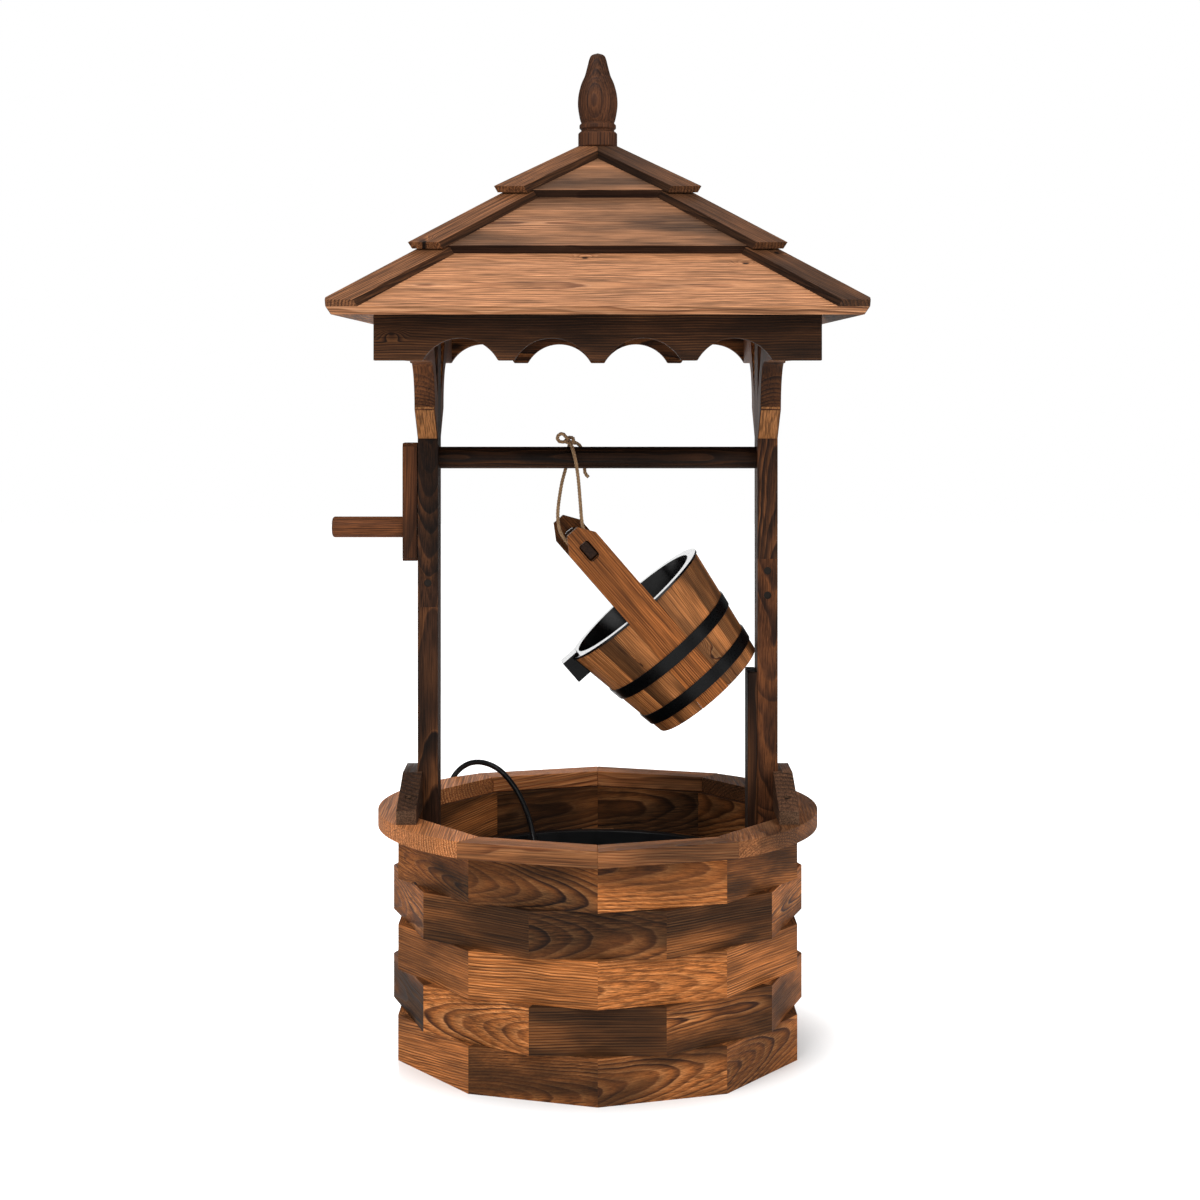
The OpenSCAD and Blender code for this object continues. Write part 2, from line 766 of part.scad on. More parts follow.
// Rope, knotted on the bar and looped under the crosspiece
module rope_sling() {
    color(jute) union() {
        tube(smooth(rope_route, 2), rope_d / 2, rope_sides);
        tube(smooth(rope_tail, 2), rope_d / 2, rope_sides);
        translate([rope_route[0][0], 0, rope_route[0][2] + 2]) rotate([0, 90, 0])
            cylinder(d = rope_knot[1], h = rope_knot[0], center = true);
        translate([rope_eye_x, 0, rope_route[0][2] + rope_eye_r]) rotate([90, 0, 0])
            rotate_extrude() translate([rope_eye_r, 0]) circle(rope_d / 2, $fn = 16);
    }
}

// Bucket, drawn upright with its mouth at zero height, then tilted into place
module in_bucket() { translate([mouth_x, 0, mouth_z]) rotate([0, -lean, mouth_turn]) children(); }

module upright_space(w) {
    for (end = [0, 180]) rotate(end) translate([-w / 2, foot_r - 2 * stave_t, -bucket_h - 1])
        cube([w, mouth_r, bucket_h + 2]);
}

module bucket_staves() {
    from = asin(upright_w / 2 / mouth_r);
    count = floor(staves / 2) - 2;
    step = (180 - 2 * from) / count;
    slit = stave_gap / mouth_r * 180 / PI;
    color(fir_orange) in_bucket() difference() {
        for (end = [-90, 90]) for (k = [0:count - 1])
            rotate(end + from + k * step + slit / 2) rotate_extrude(angle = step - slit) polygon([
                [inner_r(-bucket_h), -bucket_h], [outer_r(-bucket_h), -bucket_h],
                [outer_r(0), 0], [inner_r(0), 0]
            ]);
        upright_space(upright_w + 2 * stave_gap);
    }
}

module bucket_uprights() {
    top = upright_h;
    w = upright_w / 2;
    color(fir_brown) in_bucket() difference() {
        intersection() {
            translate([0, 0, -bucket_h])
                cylinder(r1 = outer_r(-bucket_h), r2 = outer_r(top), h = bucket_h + top, $fn = round_fn);
            for (end = [0, 180]) rotate(end) rotate([90, 0, 90]) linear_extrude(2 * w, center = true) polygon([
                [inner_r(-bucket_h), -bucket_h], [mouth_r, -bucket_h],
                [outer_r(top) + 1, top], [inner_r(top), top]
            ]);
            rotate([90, 0, 0]) linear_extrude(3 * mouth_r, center = true) polygon([
                [-w, -bucket_h], [w, -bucket_h], [w, top - clip_z], [w - clip_x, top],
                [-w + clip_x, top], [-w, top - clip_z]
            ]);
        }
        translate([0, 0, cross_up]) rotate([90, 0, 0]) linear_extrude(3 * mouth_r, center = true)
            offset(slot_round) square([slot_w - 2 * slot_round, slot_h - 2 * slot_round], center = true);
    }
}

module bucket_crosspiece() {
    low = cross_up - cross_h / 2;
    top = cross_up + cross_h / 2;
    reach = outer_r(cross_up) + tenon_out;
    color(fir_dark) in_bucket() union() {
        rotate([90, 0, 90]) linear_extrude(cross_w, center = true) polygon([
            [-inner_r(low), low], [inner_r(low), low], [inner_r(top), top], [-inner_r(top), top]
        ]);
        translate([-tenon_w / 2, -reach, cross_up + slot_h / 2 - tenon_drop - tenon_h])
            cube([tenon_w, 2 * reach, tenon_h]);
    }
}

module bucket_bottom() {
    low = -bucket_h + base_up;
    color(fir_brown) in_bucket() translate([0, 0, low])
        cylinder(r1 = inner_r(low) - fit_gap, r2 = inner_r(low + base_t) - fit_gap, h = base_t);
}

module bucket_hoops() {
    color(black_plastic) in_bucket() for (at = hoop_at) {
        low = -at - hoop_w / 2;
        top = -at + hoop_w / 2;
        rotate_extrude($fn = round_fn) polygon([
            [outer_r(low) + hoop_gap, low], [outer_r(low) + hoop_gap + hoop_t, low],
            [outer_r(top) + hoop_gap + hoop_t, top], [outer_r(top) + hoop_gap, top]
        ]);
    }
}

module bucket_liner() {
    low = -bucket_h + base_up + base_t;
    wall = function (z) inner_r(z) - liner_gap;
    color(black_plastic) in_bucket() difference() {
        rotate_extrude($fn = round_fn) polygon([
            [0, low], [wall(low), low], [wall(0), 0], [mouth_r + lip_over, 0],
            [mouth_r + lip_over, lip_t], [wall(0) - liner_t, lip_t],
            [wall(low) - liner_t, low + liner_t], [0, low + liner_t]
        ]);
        for (end = [0, 180]) rotate(end) translate([-upright_w / 2 - part_gap, inner_r(0), -1])
            cube([upright_w + 2 * part_gap, mouth_r, lip_t + 2]);
    }
}

module bucket_spout() {
    near = mouth_r + lip_over;
    inner = mouth_r - stave_t;
    color(black_plastic) in_bucket() difference() {
        union() {
            translate([-spout_reach, -spout_w / 2, lip_t - spout_h])
                cube([spout_reach - inner, spout_w, spout_h]);
            translate([-spout_reach, -spout_w / 2, lip_t])
                cube([spout_reach - inner, spout_w, spout_wall]);
        }
        // Room for the staves and the liner's lip
        rotate_extrude($fn = round_fn) polygon([
            [0, -spout_h], [outer_r(-spout_h) + part_gap, -spout_h], [mouth_r + part_gap, 0],
            [near, 0], [near, lip_t], [0, lip_t]
        ]);
        translate([-spout_reach - 1, -spout_w / 2 + spout_wall, lip_t - spout_h + spout_wall])
            cube([spout_reach - near - spout_wall, spout_w - 2 * spout_wall, spout_h / 2]);
    }
}

// Pump: its front face is the cover, on -Y
module pump_block(from, to) {
    l = pump_l / 2;
    w = pump_w / 2;
    c = pump_corner;
    intersection() {
        translate([pump_x, pump_y, pump_z]) linear_extrude(pump_h) union() {
            square([2 * l, 2 * (w - c)], center = true);
            square([2 * (l - c), 2 * w], center = true);
            for (x = [c - l, l - c]) for (y = [c - w, w - c]) translate([x, y]) circle(c);
        }
        translate([pump_x - l, pump_y - w + from, pump_z]) cube([2 * l, to - from, pump_h]);
    }
}

module along_pump(at) {
    translate([pump_x, pump_y - pump_w / 2 + cover_t + at, chamber_z]) rotate([-90, 0, 0]) children();
}

module pump_housing() {
    top = pump_z + pump_h;
    color(black_plastic) difference() {
        union() {
            pump_block(cover_t, pump_w);
            translate([pump_x, pump_y - pump_w / 2 + cover_t + outlet_r, top]) {
                cylinder(r = outlet_r - 1, h = outlet_h);
                for (k = [1:3]) translate([0, 0, outlet_h * k / 4])
                    cylinder(r1 = outlet_r, r2 = outlet_r - 1, h = outlet_h / 6);
            }
        }
        along_pump(-1) cylinder(r = chamber_r, h = chamber_l + 1);
        along_pump(-1) cylinder(r = shaft_d / 2 + fit_gap, h = shaft_l);
        translate([pump_x, pump_y - pump_w / 2 + cover_t + outlet_r, chamber_z])
            cylinder(r = outlet_bore_r, h = pump_h + outlet_h);
        knob_place() translate([0, 0, -knob_stem_l - part_gap])
            cylinder(d = knob_stem_d + 2 * run_gap, h = knob_stem_l + 2);
    }
}

module pump_cover() {
    color(black_plastic) difference() {
        pump_block(0, cover_t);
        along_pump(-cover_t / 2) cylinder(r = shaft_d / 2 + fit_gap, h = cover_t);
        for (row = [-2, -1, 1, 2])
            translate([pump_x, pump_y - pump_w / 2, chamber_z + cover_slot_step * row])
                cube([chamber_r, 3 * cover_t, cover_slot], center = true);
    }
}

module pump_shaft() {
    color(zinc) along_pump(-cover_t / 2) cylinder(d = shaft_d, h = cover_t / 2 + shaft_l - 1);
}

module pump_rotor() {
    color(fir_pale) difference() {
        union() {
            along_pump(blade_l + impeller_t + part_gap) cylinder(r = rotor_r, h = rotor_l);
            along_pump(blade_l + part_gap) cylinder(r = impeller_r, h = impeller_t);
            for (k = [0:blades - 1]) along_pump(part_gap) rotate(k * 360 / blades)
                translate([shaft_d, -blade_t / 2, 0]) cube([impeller_r - shaft_d, blade_t, blade_l + 1]);
            along_pump(part_gap) cylinder(r = 2 * shaft_d, h = blade_l + 1);
        }
        along_pump(0) cylinder(r = shaft_d / 2 + run_gap, h = shaft_l);
    }
}

module knob_place() {
    translate([pump_x + pump_l / 3, pump_y + pump_w / 4, pump_z + pump_h + part_gap]) children();
}

module pump_flow_knob() {
    color(zinc) knob_place() union() {
        translate([0, 0, -knob_stem_l]) cylinder(d = knob_stem_d, h = knob_stem_l + 1);
        cylinder(r = knob_r, h = knob_h / 2);
        translate([-knob_r, -blade_t, knob_h / 2]) cube([2 * knob_r, 2 * blade_t, knob_h / 2]);
    }
}

module pump_feet() {
    color(black_plastic) for (x = [-1, 1]) for (y = [-1, 1])
        translate([pump_x + x * (pump_l / 2 - foot_inset), pump_y + y * (pump_w / 2 - foot_inset), basin_floor_z])
            cylinder(r1 = foot_pad_r, r2 = foot_pad_r - foot_taper, h = foot_pad_h);
}

module lead_gland() {
    color(black_plastic) translate([gland_x, gland_y, pump_z + pump_h]) union() {
        cylinder(r = gland_r, h = gland_foot_h);
        cylinder(r1 = gland_r - 1, r2 = lead_d / 2 + 1, h = gland_h);
    }
}

// Pump lead, its coil and its plug
module pump_lead() { color(black_plastic) tube(smooth(lead_route, 2), lead_d / 2, lead_sides); }

coil_path = concat([[coil_x - coil_lead_in, coil_y - coil_out_r, coil_z]], [
    for (i = [0:coil_turns * coil_rings]) let (
        turn = i / coil_rings,
        r = coil_out_r - coil_pitch * min(turn, coil_turns - turn),
        climb = min(1, max(0, 2 * (turn - coil_turns / 2) + 0.5))
    ) [coil_x + r * sin(360 * turn), coil_y - r * cos(360 * turn), coil_z + climb * coil_climb]
], [[coil_x + coil_tail, coil_y - coil_out_r, coil_z + coil_climb]]);

coil_gap = min([for (i = [0:len(coil_path) - 1]) for (j = [i + coil_rings / 2:1:len(coil_path) - 1])
    norm(coil_path[i] - coil_path[j])]) - lead_d;
echo("coil, least gap to itself", coil_gap);
echo("lead, length", span(smooth(lead_route, 4)) + span(coil_path));

module pump_lead_coil() { color(black_plastic) tube(coil_path, lead_d / 2, coil_sides); }

module pump_lead_plug() {
    color(black_plastic) translate([coil_x + coil_tail, coil_y - coil_out_r, coil_z + coil_climb]) {
        rotate([0, 90, 0]) cylinder(r1 = lead_d / 2 + plug_neck_wall, r2 = plug_neck_r, h = plug_neck_l);
        translate([plug_neck_l, -plug_w / 2, -plug_h / 2]) cube([plug_l, plug_w, plug_h]);
        for (end = [-1, 1]) translate([plug_neck_l + plug_l, end * blade_apart / 2 - blade_thick / 2, -blade_w / 2])
            cube([blade_reach, blade_thick, blade_w]);
    }
}

course_1();
course_2();
course_3();
course_4();
course_5();
course_dowels();
rim_planks();
rim_side_left();
rim_side_right();
basin();
basin_cleats();
pump_housing();
pump_cover();
pump_rotor();
pump_shaft();
pump_flow_knob();
pump_feet();
lead_gland();
pump_lead();
pump_lead_coil();
pump_lead_plug();
post_upper_left();
post_lower_left();
post_upper_right();
post_lower_right();
riser_strip();
cleat_left();
cleat_right();
frame_screws();
brace_front_left();
brace_front_right();
brace_back_left();
brace_back_right();
fascia_front();
fascia_back();
fascia_left();
fascia_right();
roof_bearers();
hip_rafters();
king_block();
roof_boards_front();
roof_boards_back();
roof_boards_left();
roof_boards_right();
hip_battens_front();
hip_battens_back();
finial();
finial_screw();
crossbar();
crank_arm();
crank_peg();
crank_screw();
rope_sling();
bucket_staves();
bucket_uprights();
bucket_bottom();
bucket_hoops();
bucket_liner();
bucket_spout();
bucket_crosspiece();
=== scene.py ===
import json
import math
import random

import bmesh
import bpy
import numpy as np
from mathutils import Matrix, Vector


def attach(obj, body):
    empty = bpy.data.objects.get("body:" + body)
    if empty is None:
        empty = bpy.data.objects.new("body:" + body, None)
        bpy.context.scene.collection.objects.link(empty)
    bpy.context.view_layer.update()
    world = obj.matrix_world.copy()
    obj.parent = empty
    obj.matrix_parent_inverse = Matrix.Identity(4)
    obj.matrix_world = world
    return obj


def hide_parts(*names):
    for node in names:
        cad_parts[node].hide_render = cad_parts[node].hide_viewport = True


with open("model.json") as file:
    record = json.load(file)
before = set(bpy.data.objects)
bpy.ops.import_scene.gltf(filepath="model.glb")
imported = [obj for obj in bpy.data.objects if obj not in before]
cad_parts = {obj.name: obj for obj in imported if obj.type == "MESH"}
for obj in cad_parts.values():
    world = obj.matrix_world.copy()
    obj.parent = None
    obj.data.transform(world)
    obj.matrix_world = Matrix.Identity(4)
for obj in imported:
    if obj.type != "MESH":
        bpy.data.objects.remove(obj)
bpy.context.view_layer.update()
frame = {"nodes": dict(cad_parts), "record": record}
random.seed(21)
mm = 0.001
weld = 0.01  # mm; corners nearer than this are one corner
roundProfile = 0.5  # the bevel's value for a round arris
print("frame loaded:", len(frame["nodes"]), "nodes")

# Small helpers


def toLinear(hexColour):  # sRGB hex to the linear colour that a shader wants
    parts = [int(hexColour[i:i + 2], 16) / 255 for i in (1, 3, 5)]
    return tuple(c / 12.92 if c <= 0.04045 else ((c + 0.055) / 1.055) ** 2.4 for c in parts) + (1,)


def addNode(tree, kind, links=None, **settings):  # one node with its settings and what feeds it
    node = tree.nodes.new(kind)
    for key, value in settings.items():
        setattr(node, key, value)
    for socket, value in (links or {}).items():
        if isinstance(value, bpy.types.NodeSocket):
            tree.links.new(value, node.inputs[socket])
        else:
            node.inputs[socket].default_value = value
    return node


def newMaterial(name):
    material = bpy.data.materials.new(name)
    material.use_nodes = True
    return material, material.node_tree, material.node_tree.nodes["Principled BSDF"]


def fillRamp(ramp, stops):  # stops are (place, hex colour)
    elements = ramp.color_ramp.elements
    while len(elements) > 1:
        elements.remove(elements[0])
    for i, (place, colour) in enumerate(stops):
        element = elements[0] if i == 0 else elements.new(place)
        element.position = place
        element.color = toLinear(colour)


def meshObject(name, bm, material):
    mesh = bpy.data.meshes.new(name)
    bm.to_mesh(mesh)
    bm.free()
    piece = bpy.data.objects.new(name, mesh)
    bpy.context.scene.collection.objects.link(piece)
    mesh.materials.append(material)
    return piece


def easedMesh(node, ease, s):  # a node's mesh with its hard edges eased, and the faces that did it
    bm = bmesh.new()
    bm.from_mesh(frame["nodes"][node].data)
    bmesh.ops.remove_doubles(bm, verts=bm.verts, dist=weld * mm)
    flat, curved, sharp = (math.radians(s[key]) for key in ("flat", "curved", "sharp"))
    bmesh.ops.dissolve_limit(bm, angle_limit=flat, verts=bm.verts, edges=bm.edges)
    hard = [e for e in bm.edges if len(e.link_faces) == 2 and e.calc_face_angle(0) > sharp]
    made = bmesh.ops.bevel(bm, geom=hard, offset=ease * mm, segments=s["steps"], profile=roundProfile,
                           affect="EDGES", clamp_overlap=True)
    bevelled = set(made["faces"])
    for face in bm.faces:
        face.smooth = face in bevelled or any(flat < e.calc_face_angle(0) < curved for e in face.edges
                                              if len(e.link_faces) == 2)
    for edge in bm.edges:  # an eased edge stays crisp where it meets the flat of the board
        edge.smooth = sum(face in bevelled for face in edge.link_faces) != 1
    return bm, bevelled


def turned(name, start, axis, profile, material, around=48):  # a lathe shape from (along, radius) steps in mm
    bm = bmesh.new()
    axis = Vector(axis)
    side = axis.orthogonal().normalized()
    up = axis.cross(side)
    rings = []
    for along, radius in profile:
        centre = Vector(start) + axis * along
        rings.append([bm.verts.new((centre + (side * math.cos(a) + up * math.sin(a)) * radius) * mm)
                      for a in (math.tau * i / around for i in range(around))])
    for low, high in zip(rings, rings[1:]):
        for i in range(around):
            j = (i + 1) % around
            bm.faces.new((low[i], low[j], high[j], high[i])).smooth = True
    bm.faces.new(reversed(rings[0]))
    bm.faces.new(rings[-1])
    bmesh.ops.recalc_face_normals(bm, faces=bm.faces)
    return meshObject(name, bm, material)


def block(name, low, high, ease, material, steps):  # a box between two corners, its edges eased, in mm
    bm = bmesh.new()
    bmesh.ops.create_cube(bm, size=mm)
    centre = (Vector(low) + Vector(high)) / 2
    for vert in bm.verts:
        vert.co = vert.co * (Vector(high) - Vector(low)) + centre * mm
    made = bmesh.ops.bevel(bm, geom=bm.edges[:], offset=ease * mm, segments=steps, profile=roundProfile,
                           affect="EDGES")
    for face in made["faces"]:
        face.smooth = True
    return meshObject(name, bm, material)


# Camera: level, a little below the eaves, with the frame shifted down to the barrel
cameraSettings = {
    "place": (0, -2.5684, 0.7658), "lens": 66.84, "sensor": 36,
    "shiftX": 0.0019, "shiftY": -0.18625,
}


def makeCamera(s):
    data = bpy.data.cameras.new("camera")
    data.lens = s["lens"]
    data.sensor_width = s["sensor"]
    data.shift_x = s["shiftX"]
    data.shift_y = s["shiftY"]
    camera = bpy.data.objects.new("camera", data)
    camera.location = s["place"]
    camera.rotation_euler = (math.pi / 2, 0, 0)
    bpy.context.scene.collection.objects.link(camera)
    bpy.context.scene.camera = camera


makeCamera(cameraSettings)
print("camera placed")

# Pump lead: 7 mm round black PVC, out of the basin, over the rim, down the back and into its coil.
# All in mm; inset thins the seen cord so that it doesn't sink into the ground, steps are for each route point
leadSettings = {
    "diameter": 7, "inset": 0.15, "steps": 6, "roundness": 5, "route": [
        (-70, 88, 125), (-70, 88, 132), (-71, 94, 152), (-73, 110, 180), (-78, 130, 209),
        (-87, 141, 238), (-100, 152, 262), (-119, 164, 282), (-140, 176, 290), (-160, 186, 287),
        (-177, 195, 272), (-184, 202, 250), (-186, 205, 220), (-187, 206, 180), (-188, 207, 140),
        (-189, 208, 100), (-190, 209, 60), (-190, 211, 30), (-188, 218, 11), (-180, 230, 4.5),
        (-168, 241, 3.5), (-150, 248, 3.5), (-132, 251.5, 3.5), (-113, 252, 3.5)],
    "coilX": -105, "coilY": 300, "coilRadius": 48, "turns": 5, "stepsPerTurn": 36, "pitch": 7.7,
    "climb": 7.6, "climbTurns": 0.5, "tail": 18,  # halfway round it climbs on top of the turns below
}
# Moulded plug: ribbed neck, rounded grip and two blades. Gland: a foot and a ribbed, tapered sleeve
plugSettings = {
    "start": (-87, 252, 11.1), "neck": 26, "neckFrom": 4.0, "neckTo": 6.0, "ribs": 6, "ribDeep": 0.7,
    "body": 32, "wide": 20, "high": 22, "ease": 4, "steps": 5,
    "grips": 6, "gripStep": 3.6, "gripWide": 1.6, "gripHigh": 12, "gripDeep": 0.5, "gripSteps": 2,
    "blade": 17, "bladeRoot": 2, "bladeHigh": 6.3, "bladeThick": 1.5, "bladeApart": 12.7, "bladeEase": 0.4,
    "bladeSteps": 2,
}
glandSettings = {
    "start": (-70, 88, 105), "foot": 5, "footRadius": 7, "high": 19.5, "from": 6, "to": 4.5, "ribs": 4,
    "ribDeep": 0.6, "ease": 0.7,
}


def smoothRoute(points, steps):  # a smooth run through the route's points
    ends = [points[0]] + points + [points[-1]]
    out = []
    for a, b, c, d in zip(ends, ends[1:], ends[2:], ends[3:]):
        for i in range(steps):
            t = i / steps
            out.append(0.5 * (2 * b + (c - a) * t + (2 * a - 5 * b + 4 * c - d) * t * t
                              + (3 * b - a - 3 * c + d) * t ** 3))
    return out + [points[-1]]


def coilRoute(s):  # turns that wind inwards on the ground, climb, and wind outwards on top
    low = s["diameter"] / 2
    points = []
    for i in range(s["turns"] * s["stepsPerTurn"] + 1):
        turn = i / s["stepsPerTurn"]
        radius = s["coilRadius"] - s["pitch"] * min(turn, s["turns"] - turn)
        rise = s["climb"] * min(1, max(0, (turn - s["turns"] / 2) / s["climbTurns"] + 0.5))
        points.append(Vector((s["coilX"] + radius * math.sin(math.tau * turn),
                              s["coilY"] - radius * math.cos(math.tau * turn), low + rise)))
    return points + [points[-1] + Vector((s["tail"], 0, 0))]


def curveObject(name, points, depth=0.0, roundness=0):
    curve = bpy.data.curves.new(name, "CURVE")
    curve.dimensions = "3D"
    curve.bevel_depth = depth
    curve.bevel_resolution = roundness
    curve.use_fill_caps = True
    spline = curve.splines.new("POLY")
    spline.points.add(len(points) - 1)
    for point, co in zip(spline.points, points):
        point.co = (*(co * mm), 1)
    spline.use_smooth = True
    piece = bpy.data.objects.new(name, curve)
    bpy.context.scene.collection.objects.link(piece)
    return piece


def routeLength(points):
    return sum((b - a).length for a, b in zip(points, points[1:]))


# Moulded, drawn and painted skins. low and high cut the noise; smoother and rougher go either side of a
# finish's roughness; depth is how deep the grain is in mm; cloud is the slow change of colour over a part
skinSettings = {
    "low": 0.3, "high": 0.7, "smoother": 0.06, "rougher": 0.08, "detail": 3.0, "depth": 0.1, "cloud": 30.0,
    "cloudDetail": 2.0,
}


def skinned(name, colours, rough, grain, bump, gloss=0.2, metallic=0.0, s=skinSettings):
    material, tree, shader = newMaterial(name)
    place = addNode(tree, "ShaderNodeTexCoord")
    noise = addNode(tree, "ShaderNodeTexNoise", {"Vector": place.outputs["Object"], "Scale": grain,
                                                "Detail": s["detail"]})
    skin = addNode(tree, "ShaderNodeMapRange", {"Value": noise.outputs["Fac"], "From Min": s["low"],
                                               "From Max": s["high"], "To Min": rough - s["smoother"],
                                               "To Max": rough + s["rougher"]})
    uneven = addNode(tree, "ShaderNodeBump", {"Height": noise.outputs["Fac"], "Strength": bump,
                                             "Distance": s["depth"] * mm})
    wide = addNode(tree, "ShaderNodeTexNoise", {"Vector": place.outputs["Object"], "Scale": s["cloud"],
                                               "Detail": s["cloudDetail"]})
    shade = addNode(tree, "ShaderNodeValToRGB", {"Fac": wide.outputs["Fac"]})
    fillRamp(shade, [(s["low"], colours[0]), (s["high"], colours[1])])
    tree.links.new(shade.outputs["Color"], shader.inputs["Base Color"])
    tree.links.new(skin.outputs[0], shader.inputs["Roughness"])
    tree.links.new(uneven.outputs["Normal"], shader.inputs["Normal"])
    shader.inputs["Specular IOR Level"].default_value = gloss
    shader.inputs["Metallic"].default_value = metallic
    return material


# Each: two near colours, roughness, grain per metre, the grain's strength, gloss and metal.
# the bucket's liner and spout: near black, with soft bright streaks where it turns to a lamp
glossTub = skinned("mouldedGlossPolypropylene", ("#040404", "#070708"), 0.2, 900.0, 0.05, 0.24)
# the basin: a shade greyer and duller, so that its lip reads against the dark inside
basinTub = skinned("mouldedBasinPolypropylene", ("#0e0f10", "#161718"), 0.34, 700.0, 0.1)
# the pump: matt charcoal with a fine grain, which tells it from the basin
pumpAbs = skinned("mouldedPumpAbs", ("#131416", "#1a1b1d"), 0.42, 1600.0, 0.2)
# the flow knob: mid grey, so that it stands out on the pump
knobAbs = skinned("mouldedKnobAbs", ("#3b3f45", "#454a50"), 0.4, 1600.0, 0.15)
# the lead: black with a long soft shine along its top
leadPvc = skinned("extrudedLeadPvc", ("#0d0d0e", "#151516"), 0.3, 500.0, 0.06)
# the hoops: black paint, uneven enough to break up the shine round the bucket
hoopPaint = skinned("blackPaintedHoopSteel", ("#040405", "#08090a"), 0.3, 420.0, 0.12, 0.16)
# the plug's blades: bright, faintly warm metal
nickelBlade = skinned("nickelPlatedBlade", ("#a9a9a4", "#bdbdb8"), 0.25, 900.0, 0.05, metallic=1.0)
# the rotor: dull dark grey with a grain like fired clay
rotorFerrite = skinned("mouldedRotorFerrite", ("#26272a", "#303136"), 0.5, 2000.0, 0.3)
# the screws: brown-black metal that catches only small lights
blackScrew = skinned("blackenedZincScrew", ("#2a2623", "#3a3430"), 0.45, 900.0, 0.2, metallic=1.0)
# the pump's shaft: clean pale metal
shaftSteel = skinned("groundShaftSteel", ("#b9bbbd", "#c8cacc"), 0.25, 900.0, 0.05, metallic=1.0)
print("skins mixed")


def ribbed(length, low, high, ribs, deep, stepsPerRib=8):  # the profile of a tapered sleeve with rounded ribs
    steps = ribs * stepsPerRib
    profile = []
    for i in range(steps + 1):
        share = i / steps
        groove = deep * (0.5 - 0.5 * math.cos(math.tau * ribs * share))
        profile.append((length * share, low + (high - low) * share - groove))
    return profile


def makePlug(s):
    x, y, z = s["start"]
    neck = turned("plug_neck", s["start"], (1, 0, 0),
                  ribbed(s["neck"], s["neckFrom"], s["neckTo"], s["ribs"], s["ribDeep"]), leadPvc)
    x += s["neck"]
    halfWide, halfHigh = s["wide"] / 2 - s["gripDeep"], s["high"] / 2
    body = block("plug_body", (x, y - halfWide, z - halfHigh), (x + s["body"], y + halfWide, z + halfHigh),
                 s["ease"], leadPvc, s["steps"])
    pieces = [neck, body]
    reach = Vector((s["gripWide"], s["gripWide"], s["gripHigh"])) / 2
    for side in (-1, 1):
        for i in range(s["grips"]):
            at = x + s["body"] / 2 + (i - (s["grips"] - 1) / 2) * s["gripStep"]
            middle = Vector((at, y + side * (s["wide"] - s["gripWide"]) / 2, z))
            pieces.append(block(f"plug_grip_{side + 1}_{i}", middle - reach, middle + reach, s["gripDeep"],
                                leadPvc, s["gripSteps"]))
        centre = y + side * s["bladeApart"] / 2
        halfThick, halfTall = s["bladeThick"] / 2, s["bladeHigh"] / 2
        blade = block(f"plug_blade_{side + 1}",
                      (x + s["body"] - s["bladeRoot"], centre - halfThick, z - halfTall),
                      (x + s["body"] + s["blade"], centre + halfThick, z + halfTall),
                      s["bladeEase"], nickelBlade, s["bladeSteps"])
        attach(blade, "well")
        pieces.append(blade)
    return pieces


def makeGland(s):
    foot = [(0, s["footRadius"]), (s["foot"] - s["ease"], s["footRadius"]),
            (s["foot"], s["footRadius"] - s["ease"])]
    sleeve = ribbed(s["high"] - s["foot"], s["from"], s["to"], s["ribs"], s["ribDeep"])
    profile = foot + [(s["foot"] + along, radius) for along, radius in sleeve]
    return turned("lead_gland_sleeve", s["start"], (0, 0, 1), profile, leadPvc)


def makeLead(s):
    points = smoothRoute([Vector(p) for p in s["route"]], s["steps"]) + coilRoute(s)
    lead = curveObject("pump_lead_cord", points, (s["diameter"] / 2 - s["inset"]) * mm, s["roundness"])
    lead.data.materials.append(leadPvc)
    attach(lead, "well")
    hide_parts("pump_lead", "pump_lead_coil")
    plug = makePlug(plugSettings)
    gland = makeGland(glandSettings)
    for piece in [piece for piece in plug if "blade" not in piece.name] + [gland]:
        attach(piece, "well")
    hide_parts("pump_lead_plug")
    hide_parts("lead_gland")
    routeLength(points) * mm
    print("lead length", round(routeLength(points)), "mm")


makeLead(leadSettings)

